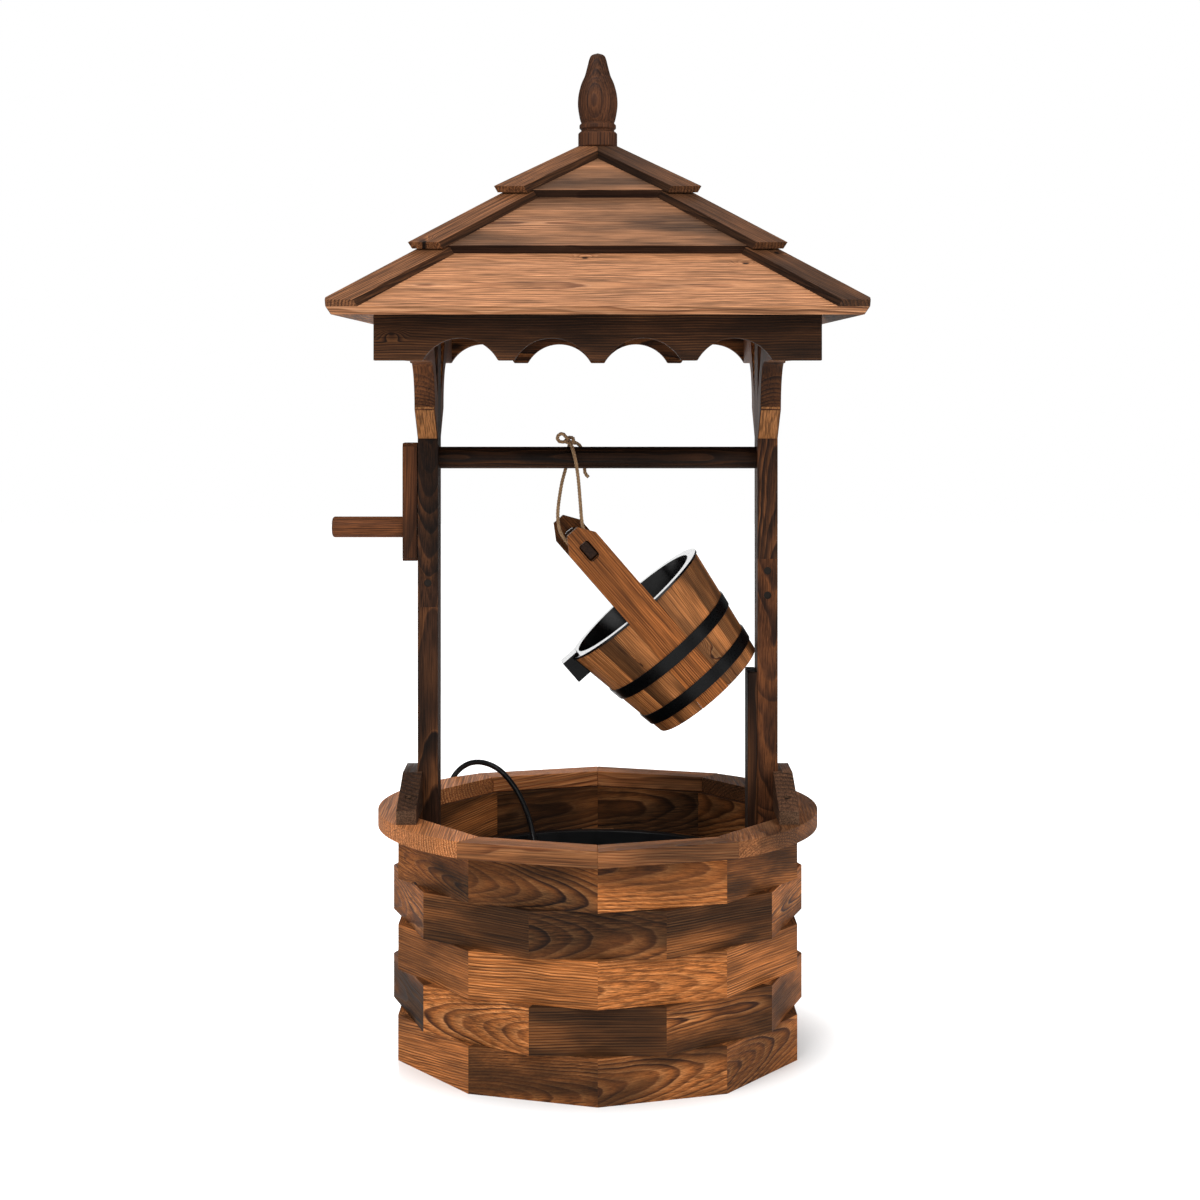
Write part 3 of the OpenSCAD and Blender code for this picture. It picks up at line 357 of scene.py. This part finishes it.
# Burnt fir: torched boards, brushed and oiled. early, mid and late are a growth ring's colours, ends the
# burnt end grain and arrises, and the painted shade in joints and on shaded long sides; ring is the ring's
# width in mm, dark how far the torch went, edge how far the long sides take the ends colour: burn, and
# painted shade on the barrel and roof
firLooks = {
    "barrel": {"early": "#d58e54", "mid": "#b06832", "late": "#502a13", "ends": "#29170c",
               "ring": 2.7, "dark": 1.0, "edge": 0.45},  # orange boards beside nearly black ones; the courses' top and under faces are painted dark as shade
    "rim": {"early": "#d5935f", "mid": "#bd7644", "late": "#7d4423", "ends": "#946039",
            "ring": 3.0, "dark": 0.7, "edge": 0.1},  # a paler band round the barrel's top
    "post": {"early": "#7d4d2b", "mid": "#462917", "late": "#1b0f08", "ends": "#28180f",
             "ring": 2.6, "dark": 0.75, "edge": 0.2},  # deep chocolate, against the white ground
    "postWarm": {"early": "#93572f", "mid": "#6d3f22", "late": "#3a1f10", "ends": "#3b2417",
                 "ring": 2.6, "dark": 0.7, "edge": 0.1},  # redder, for the right post's foot and the crank
    "brace": {"early": "#8b5530", "mid": "#6b3f22", "late": "#3b2011", "ends": "#a06a3e",
              "ring": 2.6, "dark": 0.6, "edge": 1.0},  # pale sawn ends below a dark face
    "cleat": {"early": "#80583c", "mid": "#654430", "late": "#3a271b", "ends": "#5a412f",
              "ring": 2.6, "dark": 0.6, "edge": 0.0},  # greyish brown blocks at the posts' feet
    "framing": {"early": "#b98558", "mid": "#a06c41", "late": "#744a2c", "ends": "#855b3b",
                "ring": 3.0, "dark": 0.3, "edge": 0.0},  # hardly burnt wood out of sight
    "fascia": {"early": "#84542f", "mid": "#5e3a22", "late": "#2e1a0e", "ends": "#2b190f",
               "ring": 2.8, "dark": 0.75, "edge": 0.3},  # a dark line of scallops under the eaves
    "roof": {"early": "#c8916a", "mid": "#ab754f", "late": "#6f432b", "ends": "#25150d",
             "ring": 3.4, "dark": 0.8, "edge": 1.0, "plainBelow": 0.9},  # pinkish boards; lower edge faces near black, partly burnt and partly painted shade under each tier's lip
    "batten": {"early": "#95623d", "mid": "#70472b", "late": "#3d2415", "ends": "#1b0f08",
               "ring": 2.6, "dark": 0.6, "edge": 0.75},  # brown lines that draw the hips
    "stave": {"early": "#de9c62", "mid": "#c47a42", "late": "#733d1c", "ends": "#2e180b",
              "ring": 2.4, "dark": 0.85, "edge": 0.9},  # the warmest wood, pale and dark by turns
    "upright": {"early": "#b8733c", "mid": "#925426", "late": "#4d2912", "ends": "#8b7867",
                "ring": 2.4, "dark": 0.7, "edge": 0.1},  # even orange brown with worn grey tops
    "finial": {"early": "#7a4b2e", "mid": "#623b24", "late": "#41261a", "ends": "#33200f",
               "ring": 2.6, "dark": 0.5, "edge": 0.0},  # quiet brown, so that the turning reads
}
# How a log was sawn: the pith's depth and setback in mm, and how far the grain dives along the board;
# quarterShare is each look's share of quarter-sawn boards, and looks that aren't in it are all quarter-sawn
sawn = {
    "flat": {"depth": (16, 46), "across": (0, 22), "dive": (1, 9)},
    "quarter": {"depth": (3, 12), "across": (40, 90), "dive": (0.3, 2)},
}
quarterShare = {"barrel": 0.5, "rim": 0.5, "roof": 0.35, "fascia": 0.5, "framing": 0.5}
# Patterns over the board in mm: a scale is per mm, a stretch how much slower it runs along than across
firScales = {
    "wander": 0.007, "wanderBy": 9, "wanderAcross": 0.4,  # the pith's slow wander along the trunk
    "ripple": 0.045, "rippleBy": 2.4, "rippleStretch": 0.3,
    "fibre": 0.8, "fibreStretch": 0.012, "hair": 2.6, "hairStretch": 0.007,
    "fibreShade": (0.36, 0.64, 0.42, 1.28), "hairShade": (0.32, 0.68, 0.72, 1.14),  # noise range, shade range
    "knotCell": 150, "knotNarrow": 2, "knotReach": 22, "knotCore": 5, "knotHeart": 0.4, "knotShift": 3.4,
    "knotBar": 0.8,  # a cell whose chance is above the bar holds a knot
    "yearStep": 3.7, "yearSpread": (0.38, 0.6), "weakYear": 0.4,
    "faint": 0.02, "faintStretch": 0.25, "faintSpread": (0.35, 0.62), "faintest": 0.6,
    "patch": 0.02, "patchAlong": 0.22, "patchSpread": (0.36, 0.66), "feather": 0.35,  # the torch's clouds
    "pivot": 0.3, "toneBy": 1.3, "cloudBy": 0.85, "torchCurve": 1.7, "torchTint": "#646a71",
    # how far end grain with the long sides, and the eased arrises, take the ends colour: burn, and painted
    # shade under ledges, lips and in joints
    "endBurnAndSideShade": 0.92, "edgeBurnAndJointShade": 0.68, "roughEarly": 0.72, "roughLate": 0.58, "gloss": 0.14,
    "coarse": 2.0, "fine": 4.0, "broken": 0.55,  # the noises' detail and roughness
    "bump": 0.6, "bumpDepth": 0.45, "fibreHigh": 0.8, "hairHigh": 0.3, "yearHigh": 0.6,
}
ringStops = ((0.0, "early"), (0.5, "mid"), (0.8, "late"), (0.9, "late"), (1.0, "early"))


def firMaterial(name, look, s):  # one burnt fir: rings, knots, fibres and the torch's clouds
    material, tree, shader = newMaterial(name)

    def reckon(operation, a, b=0.0, c=0.0):
        return addNode(tree, "ShaderNodeMath", {0: a, 1: b, 2: c}, operation=operation).outputs[0]

    def spread(value, low, high, toLow=0.0, toHigh=1.0):  # a smooth step from one value to another
        return addNode(tree, "ShaderNodeMapRange", {"Value": value, "From Min": low, "From Max": high,
                                                   "To Min": toLow, "To Max": toHigh},
                       interpolation_type="SMOOTHSTEP").outputs[0]

    def noise(vector, scale, detail=s["coarse"]):
        return addNode(tree, "ShaderNodeTexNoise", {"Vector": vector, "Scale": scale, "Detail": detail,
                                                   "Roughness": s["broken"]}).outputs["Fac"]

    def stretched(along, across=1.0):
        return addNode(tree, "ShaderNodeVectorMath", {0: place, 1: (along, across, across)},
                       operation="MULTIPLY").outputs[0]

    def mixed(factor, a, b, blend="MIX"):
        return addNode(tree, "ShaderNodeMix", {"Factor": factor, 6: a, 7: b}, data_type="RGBA",
                       blend_type=blend).outputs[2]

    def carried(name, output="Fac"):  # what easedBoards wrote on the mesh
        return addNode(tree, "ShaderNodeAttribute", attribute_name=name).outputs[output]

    place, tone = carried("boardPlace", "Vector"), carried("boardTone")
    # end grain, darkened long sides and eased arrises, as easedBoards marked them: burn, with painted shade
    # under ledges, lips and in joints
    end, edge = carried("endGrainSideBurnAndShade"), carried("burntEdgeAndJointShade")
    parts = addNode(tree, "ShaderNodeSeparateXYZ", {0: place})
    # knots: some of the cells along a board hold one, and the rings run round it
    cellSize = (1 / s["knotCell"], s["knotNarrow"] / s["knotCell"], 0)
    cell = addNode(tree, "ShaderNodeVectorMath", {0: place, 1: cellSize}, operation="MULTIPLY")
    knots = addNode(tree, "ShaderNodeTexVoronoi", {"Vector": cell.outputs[0], "Scale": 1.0},
                    voronoi_dimensions="2D")
    chance = addNode(tree, "ShaderNodeSeparateColor", {0: knots.outputs["Color"]})
    held = reckon("GREATER_THAN", chance.outputs[0], s["knotBar"])
    away = reckon("MULTIPLY", knots.outputs["Distance"], s["knotCell"])
    nearKnot = reckon("MULTIPLY", spread(away, s["knotReach"], 0.0), held)
    core = reckon("MULTIPLY", spread(away, s["knotCore"], s["knotCore"] * s["knotHeart"]), held)
    # growth rings: distance from the pith, whose line wanders along the trunk
    wander = noise(stretched(1.0, s["wanderAcross"]), s["wander"])
    ripple = noise(stretched(s["rippleStretch"]), s["ripple"])
    flat = addNode(tree, "ShaderNodeCombineXYZ", {"Y": parts.outputs["Y"], "Z": parts.outputs["Z"]})
    radius = addNode(tree, "ShaderNodeVectorMath", {0: flat.outputs[0]}, operation="LENGTH").outputs["Value"]
    rippled = reckon("MULTIPLY_ADD", ripple, s["rippleBy"], radius)
    bent = reckon("MULTIPLY_ADD", wander, s["wanderBy"], rippled)
    ring = reckon("MULTIPLY_ADD", nearKnot, s["knotShift"], reckon("DIVIDE", bent, look["ring"]))
    year = reckon("FRACT", ring)
    rings = addNode(tree, "ShaderNodeValToRGB", {"Fac": year})
    fillRamp(rings, [(stop, look[colour]) for stop, colour in ringStops])
    # some years show strongly and others hardly at all
    which = reckon("MULTIPLY", reckon("FLOOR", ring), s["yearStep"])
    turn = addNode(tree, "ShaderNodeCombineXYZ", {"X": which})
    strength = spread(noise(turn.outputs[0], 1.0, 0.0), *s["yearSpread"], s["weakYear"], 1.0)
    faded = spread(noise(stretched(s["faintStretch"]), s["faint"]), *s["faintSpread"], s["faintest"], 1.0)
    grain = mixed(reckon("MULTIPLY", strength, faded), toLinear(look["mid"]), rings.outputs["Color"])
    # fibres and fine hairs along the board
    fibre = noise(stretched(s["fibreStretch"]), s["fibre"], s["fine"])
    hair = noise(stretched(s["hairStretch"]), s["hair"])
    streak = reckon("MULTIPLY", spread(fibre, *s["fibreShade"]), spread(hair, *s["hairShade"]))
    # the torch leaves some boards pale and others nearly black, in clouds that follow the grain
    patch = reckon("MULTIPLY_ADD", reckon("SUBTRACT", fibre, 0.5), s["feather"],
                   noise(stretched(s["patchAlong"]), s["patch"], s["fine"]))
    cloud = reckon("MULTIPLY_ADD", spread(patch, *s["patchSpread"]), s["cloudBy"], -s["cloudBy"] / 2)
    darker = reckon("SUBTRACT", tone, s["pivot"])
    torched = addNode(tree, "ShaderNodeMath", {0: darker, 1: s["toneBy"], 2: cloud},
                      operation="MULTIPLY_ADD", use_clamp=True).outputs[0]
    spared = reckon("SUBTRACT", 1.0, reckon("MULTIPLY", torched, look["dark"]))
    charred = mixed(1.0, grain, toLinear(s["torchTint"]), "MULTIPLY")
    burnt = mixed(reckon("POWER", spared, s["torchCurve"]), charred, grain)
    knotted = mixed(core, burnt, toLinear(look["ends"]))
    # how far each face takes the ends colour: burn, and painted shade under the barrel's ledges, the roof
    # boards' lips and in joints
    burnAndShadeShare = reckon("MAXIMUM", reckon("MULTIPLY", end, s["endBurnAndSideShade"]), reckon("MULTIPLY", edge, s["edgeBurnAndJointShade"]))
    burntAndShadedWood = mixed(burnAndShadeShare, knotted, toLinear(look["ends"]))
    tree.links.new(mixed(1.0, burntAndShadedWood, streak, "MULTIPLY"), shader.inputs["Base Color"])
    tree.links.new(spread(year, 0.0, 1.0, s["roughEarly"], s["roughLate"]), shader.inputs["Roughness"])
    raised = reckon("MULTIPLY_ADD", hair, s["hairHigh"], reckon("MULTIPLY", year, s["yearHigh"]))
    bump = addNode(tree, "ShaderNodeBump", {"Height": reckon("MULTIPLY_ADD", fibre, s["fibreHigh"], raised),
                                           "Strength": s["bump"], "Distance": s["bumpDepth"] * mm})
    tree.links.new(bump.outputs["Normal"], shader.inputs["Normal"])
    shader.inputs["Specular IOR Level"].default_value = s["gloss"]
    return material


fir = {key: firMaterial("burntFir" + key[0].upper() + key[1:], look, firScales)
       for key, look in firLooks.items()}
print("burnt fir materials made:", len(fir))

# Boards: each wood node is copied, its arrises eased, and each board given its own grain
boardSettings = {
    "ease": 1.0, "steps": 2,  # mm, and the bevel's steps
    "sharp": 28, "flat": 0.5, "curved": 25,  # degrees: eased above, merged below, shaded as a curve below
    "shift": 4000, "steepest": 0.11,  # mm along the trunk, and the grain's steepest dive
    "facing": 0.8, "facet": 0.0003,  # how squarely an end or side face looks out, and the least side in m2
    # boards butt: each end and each side grows by this many mm
    "close": {"barrel": (0.16, 0), "rim": (0.16, 0), "stave": (0, 0.3)},
}
boardNodes = {
    "barrel": ["course_1", "course_2", "course_3", "course_4", "course_5"],
    "rim": ["rim_planks", "rim_side_left", "rim_side_right"],
    "post": ["post_upper_left", "post_lower_left", "post_upper_right", "riser_strip", "crossbar",
             "bucket_crosspiece"],
    "postWarm": ["post_lower_right", "crank_arm", "crank_peg"],
    "brace": ["brace_front_left", "brace_front_right", "brace_back_left", "brace_back_right"],
    "cleat": ["cleat_left", "cleat_right"],
    "framing": ["roof_bearers", "hip_rafters", "king_block", "basin_cleats", "course_dowels", "finial_screw"],
    "fascia": ["fascia_front", "fascia_back", "fascia_left", "fascia_right"],
    "roof": ["roof_boards_front", "roof_boards_back", "roof_boards_left", "roof_boards_right"],
    "batten": ["hip_battens_front", "hip_battens_back"],
    "stave": ["bucket_staves", "bucket_bottom"],
    "upright": ["bucket_uprights"],
    "finial": ["finial"],
}
# How dark the torch left each barrel board, by the board's bearing in degrees; the front is 270
barrelTones = {
    "course_5": {216: 0.75, 252: 0.6, 288: 0.45, 324: 0.62, 144: 0.6, 108: 0.95, 72: 1.0, 36: 0.7},
    "course_4": {198: 0.75, 234: 0.85, 270: 0.92, 306: 0.8, 342: 0.5, 90: 0.95, 126: 0.8, 54: 0.9},
    "course_3": {216: 0.4, 252: 0.12, 288: 0.45, 324: 0.3},
    "course_2": {198: 0.85, 234: 0.2, 270: 1.0, 306: 0.8, 342: 0.6},
    "course_1": {216: 0.25, 252: 0.95, 288: 0.72, 324: 0.35},
}
bearingSlack = 2  # degrees
bodyOf = {node: body for body, nodes in frame["record"]["behaviour"]["bodies"].items() for node in nodes}


def islands(bm):  # the separate boards of one node
    seen = set()
    for start in bm.verts:
        if start in seen:
            continue
        group, stack = [], [start]
        seen.add(start)
        while stack:
            vert = stack.pop()
            group.append(vert)
            for edge in vert.link_edges:
                other = edge.other_vert(vert)
                if other not in seen:
                    seen.add(other)
                    stack.append(other)
        yield group


def boardAxes(points):  # the board's long, wide and thin directions
    array = np.array(points)
    centre = (array.max(axis=0) + array.min(axis=0)) / 2
    vectors = np.linalg.eigh(np.cov((array - array.mean(axis=0)).T))[1]
    return Vector(centre), [Vector(vectors[:, i]) for i in (2, 1, 0)]


def easedBoards(node, look, s):
    tones = barrelTones.get(node, {})
    close = s["close"].get(look, (0, 0))
    bm, bevelled = easedMesh(node, s["ease"], s)
    place = bm.verts.layers.float_vector.new("boardPlace")
    tone = bm.verts.layers.float.new("boardTone")
    endGrainSideBurnAndShade = bm.faces.layers.float.new("endGrainSideBurnAndShade")
    burntEdgeAndJointShade = bm.faces.layers.float.new("burntEdgeAndJointShade")
    for group in islands(bm):
        centre, axes = boardAxes([v.co[:] for v in group])
        reach = [max(abs((v.co - centre).dot(axis)) for v in group) / mm for axis in axes]
        cut = sawn["flat" if random.random() > quarterShare.get(look, 1) else "quarter"]
        depth = random.uniform(*cut["depth"]) * random.choice((-1, 1))
        across = random.uniform(*cut["across"]) * random.choice((-1, 1))
        along = random.uniform(0, s["shift"])
        dive = min(s["steepest"], random.uniform(*cut["dive"]) / reach[0]) * random.choice((-1, 1))
        bearing = math.degrees(math.atan2(centre.y, centre.x)) % 360
        known = [level for at, level in tones.items() if abs(at - bearing) < bearingSlack]
        level = known[0] if known else random.random()
        # the long side faces take the look's edge share of the ends colour: burn, and painted shade on the
        # barrel's ledges and the roof boards' lower edges; boards centred below plainBelow stay plain
        burnt = firLooks[look]["edge"] if centre.z > firLooks[look].get("plainBelow", 0) else 0.0
        for vert in group:
            off = (vert.co - centre) / mm
            x, y, z = (off.dot(axis) for axis in axes)
            vert[place] = Vector((x + along, y + across, z + depth + dive * x))
            vert[tone] = level
            vert.co += (axes[0] * close[0] * x / reach[0] + axes[1] * close[1] * y / reach[1]) * mm
        for face in {f for v in group for f in v.link_faces}:
            onEnd, onSide = (abs(face.normal.dot(axis)) > s["facing"] for axis in axes[:2])
            side = burnt if onSide and face.calc_area() > s["facet"] else 0.0
            face[endGrainSideBurnAndShade] = 1.0 if onEnd else side
    # eased arrises take the ends colour by edgeBurnAndJointShade: burn, and painted shade where two eased
    # boards meet in a joint
    for face in bm.faces:
        face[burntEdgeAndJointShade] = 1.0 if face in bevelled else 0.0
    piece = meshObject(node + "_boards", bm, fir[look])
    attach(piece, bodyOf[node])
    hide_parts(node)


for look, nodes in boardNodes.items():
    for node in nodes:
        easedBoards(node, look, boardSettings)
print("boards eased")

# Rope: three-strand twisted jute, about 4 mm thick, tied over the bar and looped under the crosspiece. In mm
ropeSettings = {
    "strands": 3, "strand": 1.12, "offset": 1.05, "pitch": 11.0, "step": 1.1, "sides": 8, "steps": 6,
    "sling": [
        (-32, -3, 690), (-30, -9, 687), (-28, -14, 680), (-26, -15.5, 672), (-24, -14, 661),
        (-22, -11, 645), (-20, -7, 620), (-18.5, -4, 601), (-15.8, -3, 588.3), (-9.8, -3, 581.8),
        (-3.3, -2.5, 573.8), (-3.3, -1.5, 567.3), (-9.8, -1, 561.3), (-16.8, 0, 556.8), (-21.8, 1, 557.8),
        (-27.8, 2, 564.8), (-34.3, 3, 573.3), (-40.8, 4, 581.8), (-45, 5, 593), (-46, 6, 611),
        (-42, 10, 640), (-37, 14, 660), (-35, 15.5, 672), (-34, 14, 681), (-33, 9, 687), (-32, 3, 690)],
    "tail": [(-27, 3, 690), (-21, 10, 686), (-17, 16, 677), (-15, 18, 665), (-15, 18, 655), (-11, 18, 649)],
    "knot": [
        (-38, -2, 690), (-35, 4, 694.5), (-31, 4, 695.5), (-28, 0, 694), (-29, -4, 690.5),
        (-33, -5, 689), (-36, -1, 691), (-34, 4, 691.5), (-30, 5, 689.5), (-26, 3, 689)],
    "eye": [
        (-34, -1, 691), (-39, -2, 690.5), (-44, -2, 691), (-46.5, -1, 695), (-44, 0, 699),
        (-40, 0.5, 699.5), (-36.5, 0, 696), (-33, 0, 692.5)],
}


# Dry jute: straw with brown where the fuzz bump is low, partly the fibre's colour and partly painted shade in
# its hollows, and a hairy, matt skin that keeps the thin rope in sight
juteSettings = {
    "fibre": 1100.0, "detail": 3.0, "colours": [(0.3, "#5d452f"), (0.52, "#9a7753"), (0.72, "#c4a379")],
    "bump": 0.6, "depth": 0.2, "rough": 0.9, "sheen": 0.2,
}


def juteMaterial(s):
    material, tree, shader = newMaterial("twistedJute")
    place = addNode(tree, "ShaderNodeTexCoord")
    fuzz = addNode(tree, "ShaderNodeTexNoise", {"Vector": place.outputs["Object"], "Scale": s["fibre"],
                                               "Detail": s["detail"]})
    # the bump's low places get the dark stop: painted shade in the hollows between fibres, with the fibre's
    # own colour
    ramp = addNode(tree, "ShaderNodeValToRGB", {"Fac": fuzz.outputs["Fac"]})
    fillRamp(ramp, s["colours"])
    bump = addNode(tree, "ShaderNodeBump", {"Height": fuzz.outputs["Fac"], "Strength": s["bump"],
                                           "Distance": s["depth"] * mm})
    tree.links.new(ramp.outputs["Color"], shader.inputs["Base Color"])
    tree.links.new(bump.outputs["Normal"], shader.inputs["Normal"])
    shader.inputs["Roughness"].default_value = s["rough"]
    shader.inputs["Sheen Weight"].default_value = s["sheen"]
    return material


def strandTree(material, s):  # strands laid round each curve
    tree = bpy.data.node_groups.new("threeStrandRope", "GeometryNodeTree")
    face = tree.interface
    face.new_socket("Geometry", in_out="INPUT", socket_type="NodeSocketGeometry")
    for name in ("Strand Radius", "Offset", "Pitch", "Step"):
        face.new_socket(name, in_out="INPUT", socket_type="NodeSocketFloat")
    face.new_socket("Geometry", in_out="OUTPUT", socket_type="NodeSocketGeometry")
    source = addNode(tree, "NodeGroupInput")
    sink = addNode(tree, "NodeGroupOutput")
    fine = addNode(tree, "GeometryNodeResampleCurve", {"Curve": source.outputs["Geometry"],
                                                      "Length": source.outputs["Step"]}, mode="LENGTH")
    normal = addNode(tree, "GeometryNodeInputNormal")
    tangent = addNode(tree, "GeometryNodeInputTangent")
    binormal = addNode(tree, "ShaderNodeVectorMath", {0: tangent.outputs[0], 1: normal.outputs[0]},
                       operation="CROSS_PRODUCT")
    length = addNode(tree, "GeometryNodeSplineParameter")
    circle = addNode(tree, "GeometryNodeCurvePrimitiveCircle", {"Resolution": s["sides"],
                                                               "Radius": source.outputs["Strand Radius"]})
    join = addNode(tree, "GeometryNodeJoinGeometry")
    turns = addNode(tree, "ShaderNodeMath", {0: length.outputs["Length"], 1: source.outputs["Pitch"]},
                    operation="DIVIDE")
    for k in range(s["strands"]):
        start = math.tau * k / s["strands"]
        angle = addNode(tree, "ShaderNodeMath", {0: turns.outputs[0], 1: math.tau, 2: start},
                        operation="MULTIPLY_ADD")
        sine = addNode(tree, "ShaderNodeMath", {0: angle.outputs[0]}, operation="SINE")
        cosine = addNode(tree, "ShaderNodeMath", {0: angle.outputs[0]}, operation="COSINE")
        sideways = addNode(tree, "ShaderNodeVectorMath", {0: normal.outputs[0], "Scale": cosine.outputs[0]},
                           operation="SCALE")
        upwards = addNode(tree, "ShaderNodeVectorMath", {0: binormal.outputs[0], "Scale": sine.outputs[0]},
                          operation="SCALE")
        both = addNode(tree, "ShaderNodeVectorMath", {0: sideways.outputs[0], 1: upwards.outputs[0]},
                       operation="ADD")
        away = addNode(tree, "ShaderNodeVectorMath", {0: both.outputs[0], "Scale": source.outputs["Offset"]},
                       operation="SCALE")
        moved = addNode(tree, "GeometryNodeSetPosition", {"Geometry": fine.outputs[0],
                                                         "Offset": away.outputs[0]})
        tube = addNode(tree, "GeometryNodeCurveToMesh", {"Curve": moved.outputs[0], "Fill Caps": True,
                                                        "Profile Curve": circle.outputs[0]})
        tree.links.new(tube.outputs[0], join.inputs[0])
    solid = addNode(tree, "GeometryNodeRealizeInstances", {"Geometry": join.outputs[0]})
    smooth = addNode(tree, "GeometryNodeSetShadeSmooth", {"Geometry": solid.outputs[0]})
    painted = addNode(tree, "GeometryNodeSetMaterial", {"Geometry": smooth.outputs[0], "Material": material})
    tree.links.new(painted.outputs[0], sink.inputs[0])
    return tree


def applied(piece, tree, values):  # a Geometry Nodes modifier, turned into a plain mesh
    modifier = piece.modifiers.new("shape", "NODES")
    modifier.node_group = tree
    for item in tree.interface.items_tree:
        if item.in_out == "INPUT" and item.name in values:
            modifier[item.identifier] = values[item.name]
    graph = bpy.context.evaluated_depsgraph_get()
    mesh = bpy.data.meshes.new_from_object(piece.evaluated_get(graph))
    made = bpy.data.objects.new(piece.name + "_made", mesh)
    bpy.context.scene.collection.objects.link(made)
    bpy.data.objects.remove(piece)
    return made


def makeRope(s):
    tree = strandTree(juteMaterial(juteSettings), s)
    values = {"Strand Radius": s["strand"] * mm, "Offset": s["offset"] * mm, "Pitch": s["pitch"] * mm,
              "Step": s["step"] * mm}
    for part in ("sling", "tail", "knot", "eye"):
        route = curveObject("rope_" + part, smoothRoute([Vector(p) for p in s[part]], s["steps"]))
        piece = applied(route, tree, values)
        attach(piece, "bucket")
        if part == "sling":
            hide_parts("rope_sling")


makeRope(ropeSettings)
print("rope laid")

# CAD nodes whose shape is right get their finish only
nodeFinishes = {
    "bucket_liner": glossTub, "pump_shaft": shaftSteel, "frame_screws": blackScrew, "crank_screw": blackScrew,
}
for node, material in nodeFinishes.items():
    for slot in frame["nodes"][node].material_slots:
        slot.material = material
print("finishes set")

# Moulded and rolled parts: copies with their edges eased by so many millimetres
shellSettings = {"steps": 2, "sharp": 40, "flat": 0.05, "curved": 25}
shells = {
    "bucket_spout": (glossTub, 0.6), "bucket_hoops": (hoopPaint, 0.35),
    "basin": (basinTub, 0.8), "pump_housing": (pumpAbs, 1.2), "pump_cover": (pumpAbs, 0.5),
    "pump_feet": (pumpAbs, 0.6), "pump_flow_knob": (knobAbs, 0.5), "pump_rotor": (rotorFerrite, 0.4),
}
for node, (material, ease) in shells.items():
    piece = meshObject(node + "_shell", easedMesh(node, ease, shellSettings)[0], material)
    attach(piece, bodyOf[node])
    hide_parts(node)
print("shells eased")

# Floor and light
studio = {
    "world": 0.62, "glossWorld": 0.1, "floor": "#f4f4f4", "floorSize": 9, "floorRough": 0.2,
    # the floor's glow grows from near to far, in m from the middle; glowShare of it lights the well
    "near": 0.19, "far": 0.37, "glowNear": 0.02, "glowFar": 0.85, "glowShare": 0.15,
    "lamps": [  # name, place, turn in degrees, size, power
        ("key", (-1.3, -2.1, 3.0), (42, 0, -30), 1.8, 85),
        ("fill", (2.2, -2.2, 1.7), (60, 0, 45), 2.2, 40),
        ("top", (0.2, 0.5, 3.4), (-8, 0, 0), 2.0, 30),
        ("back", (-0.45, 2.8, 0.83), (-90, 0, 0), 1.1, 9),
    ],
}


def makeStudio(s):
    bm = bmesh.new()
    bmesh.ops.create_grid(bm, x_segments=1, y_segments=1, size=s["floorSize"])
    # a white sweep: it keeps the well's soft shadow near the barrel and turns pure white further out
    material, tree, shader = newMaterial("studioFloor")
    shader.inputs["Base Color"].default_value = toLinear(s["floor"])
    shader.inputs["Roughness"].default_value = s["floorRough"]
    shader.inputs["Emission Color"].default_value = (1, 1, 1, 1)
    spot = addNode(tree, "ShaderNodeTexCoord")
    away = addNode(tree, "ShaderNodeVectorMath", {0: spot.outputs["Object"]}, operation="LENGTH")
    glow = addNode(tree, "ShaderNodeMapRange", {"Value": away.outputs["Value"], "From Min": s["near"],
                                               "From Max": s["far"], "To Min": s["glowNear"],
                                               "To Max": s["glowFar"]}, interpolation_type="SMOOTHSTEP")
    # the glow whitens the picture's ground, and lights the well from below only a little
    seen = addNode(tree, "ShaderNodeLightPath")
    share = addNode(tree, "ShaderNodeMath", {0: seen.outputs["Is Camera Ray"], 1: s["glowShare"]},
                    operation="MAXIMUM")
    shown = addNode(tree, "ShaderNodeMath", {0: glow.outputs[0], 1: share.outputs[0]}, operation="MULTIPLY")
    tree.links.new(shown.outputs[0], shader.inputs["Emission Strength"])
    meshObject("floor", bm, material)
    for name, place, turn, size, power in s["lamps"]:
        data = bpy.data.lights.new(name, "AREA")
        data.energy = power
        data.size = size
        lamp = bpy.data.objects.new(name, data)
        lamp.location = place
        lamp.rotation_euler = [math.radians(a) for a in turn]
        lamp.visible_camera = False
        bpy.context.scene.collection.objects.link(lamp)
    world = bpy.data.worlds.new("studio")
    bpy.context.scene.world = world
    world.use_nodes = True
    # white to the camera, plain light on the well, and dim in its shiny parts so that black stays black
    tree = world.node_tree
    back = tree.nodes["Background"]
    back.inputs["Color"].default_value = (1, 1, 1, 1)
    back.inputs["Strength"].default_value = s["world"]
    white = addNode(tree, "ShaderNodeBackground", {"Color": (1, 1, 1, 1), "Strength": 1.0})
    dim = addNode(tree, "ShaderNodeBackground", {"Color": (1, 1, 1, 1), "Strength": s["glossWorld"]})
    path = addNode(tree, "ShaderNodeLightPath")
    mirrored = addNode(tree, "ShaderNodeMixShader", {0: path.outputs["Is Glossy Ray"], 1: back.outputs[0],
                                                    2: dim.outputs[0]})
    mix = addNode(tree, "ShaderNodeMixShader", {0: path.outputs["Is Camera Ray"], 1: mirrored.outputs[0],
                                               2: white.outputs[0]})
    tree.links.new(mix.outputs[0], tree.nodes["World Output"].inputs["Surface"])


makeStudio(studio)
bpy.context.scene.view_settings.view_transform = "Standard"
print("studio lit")
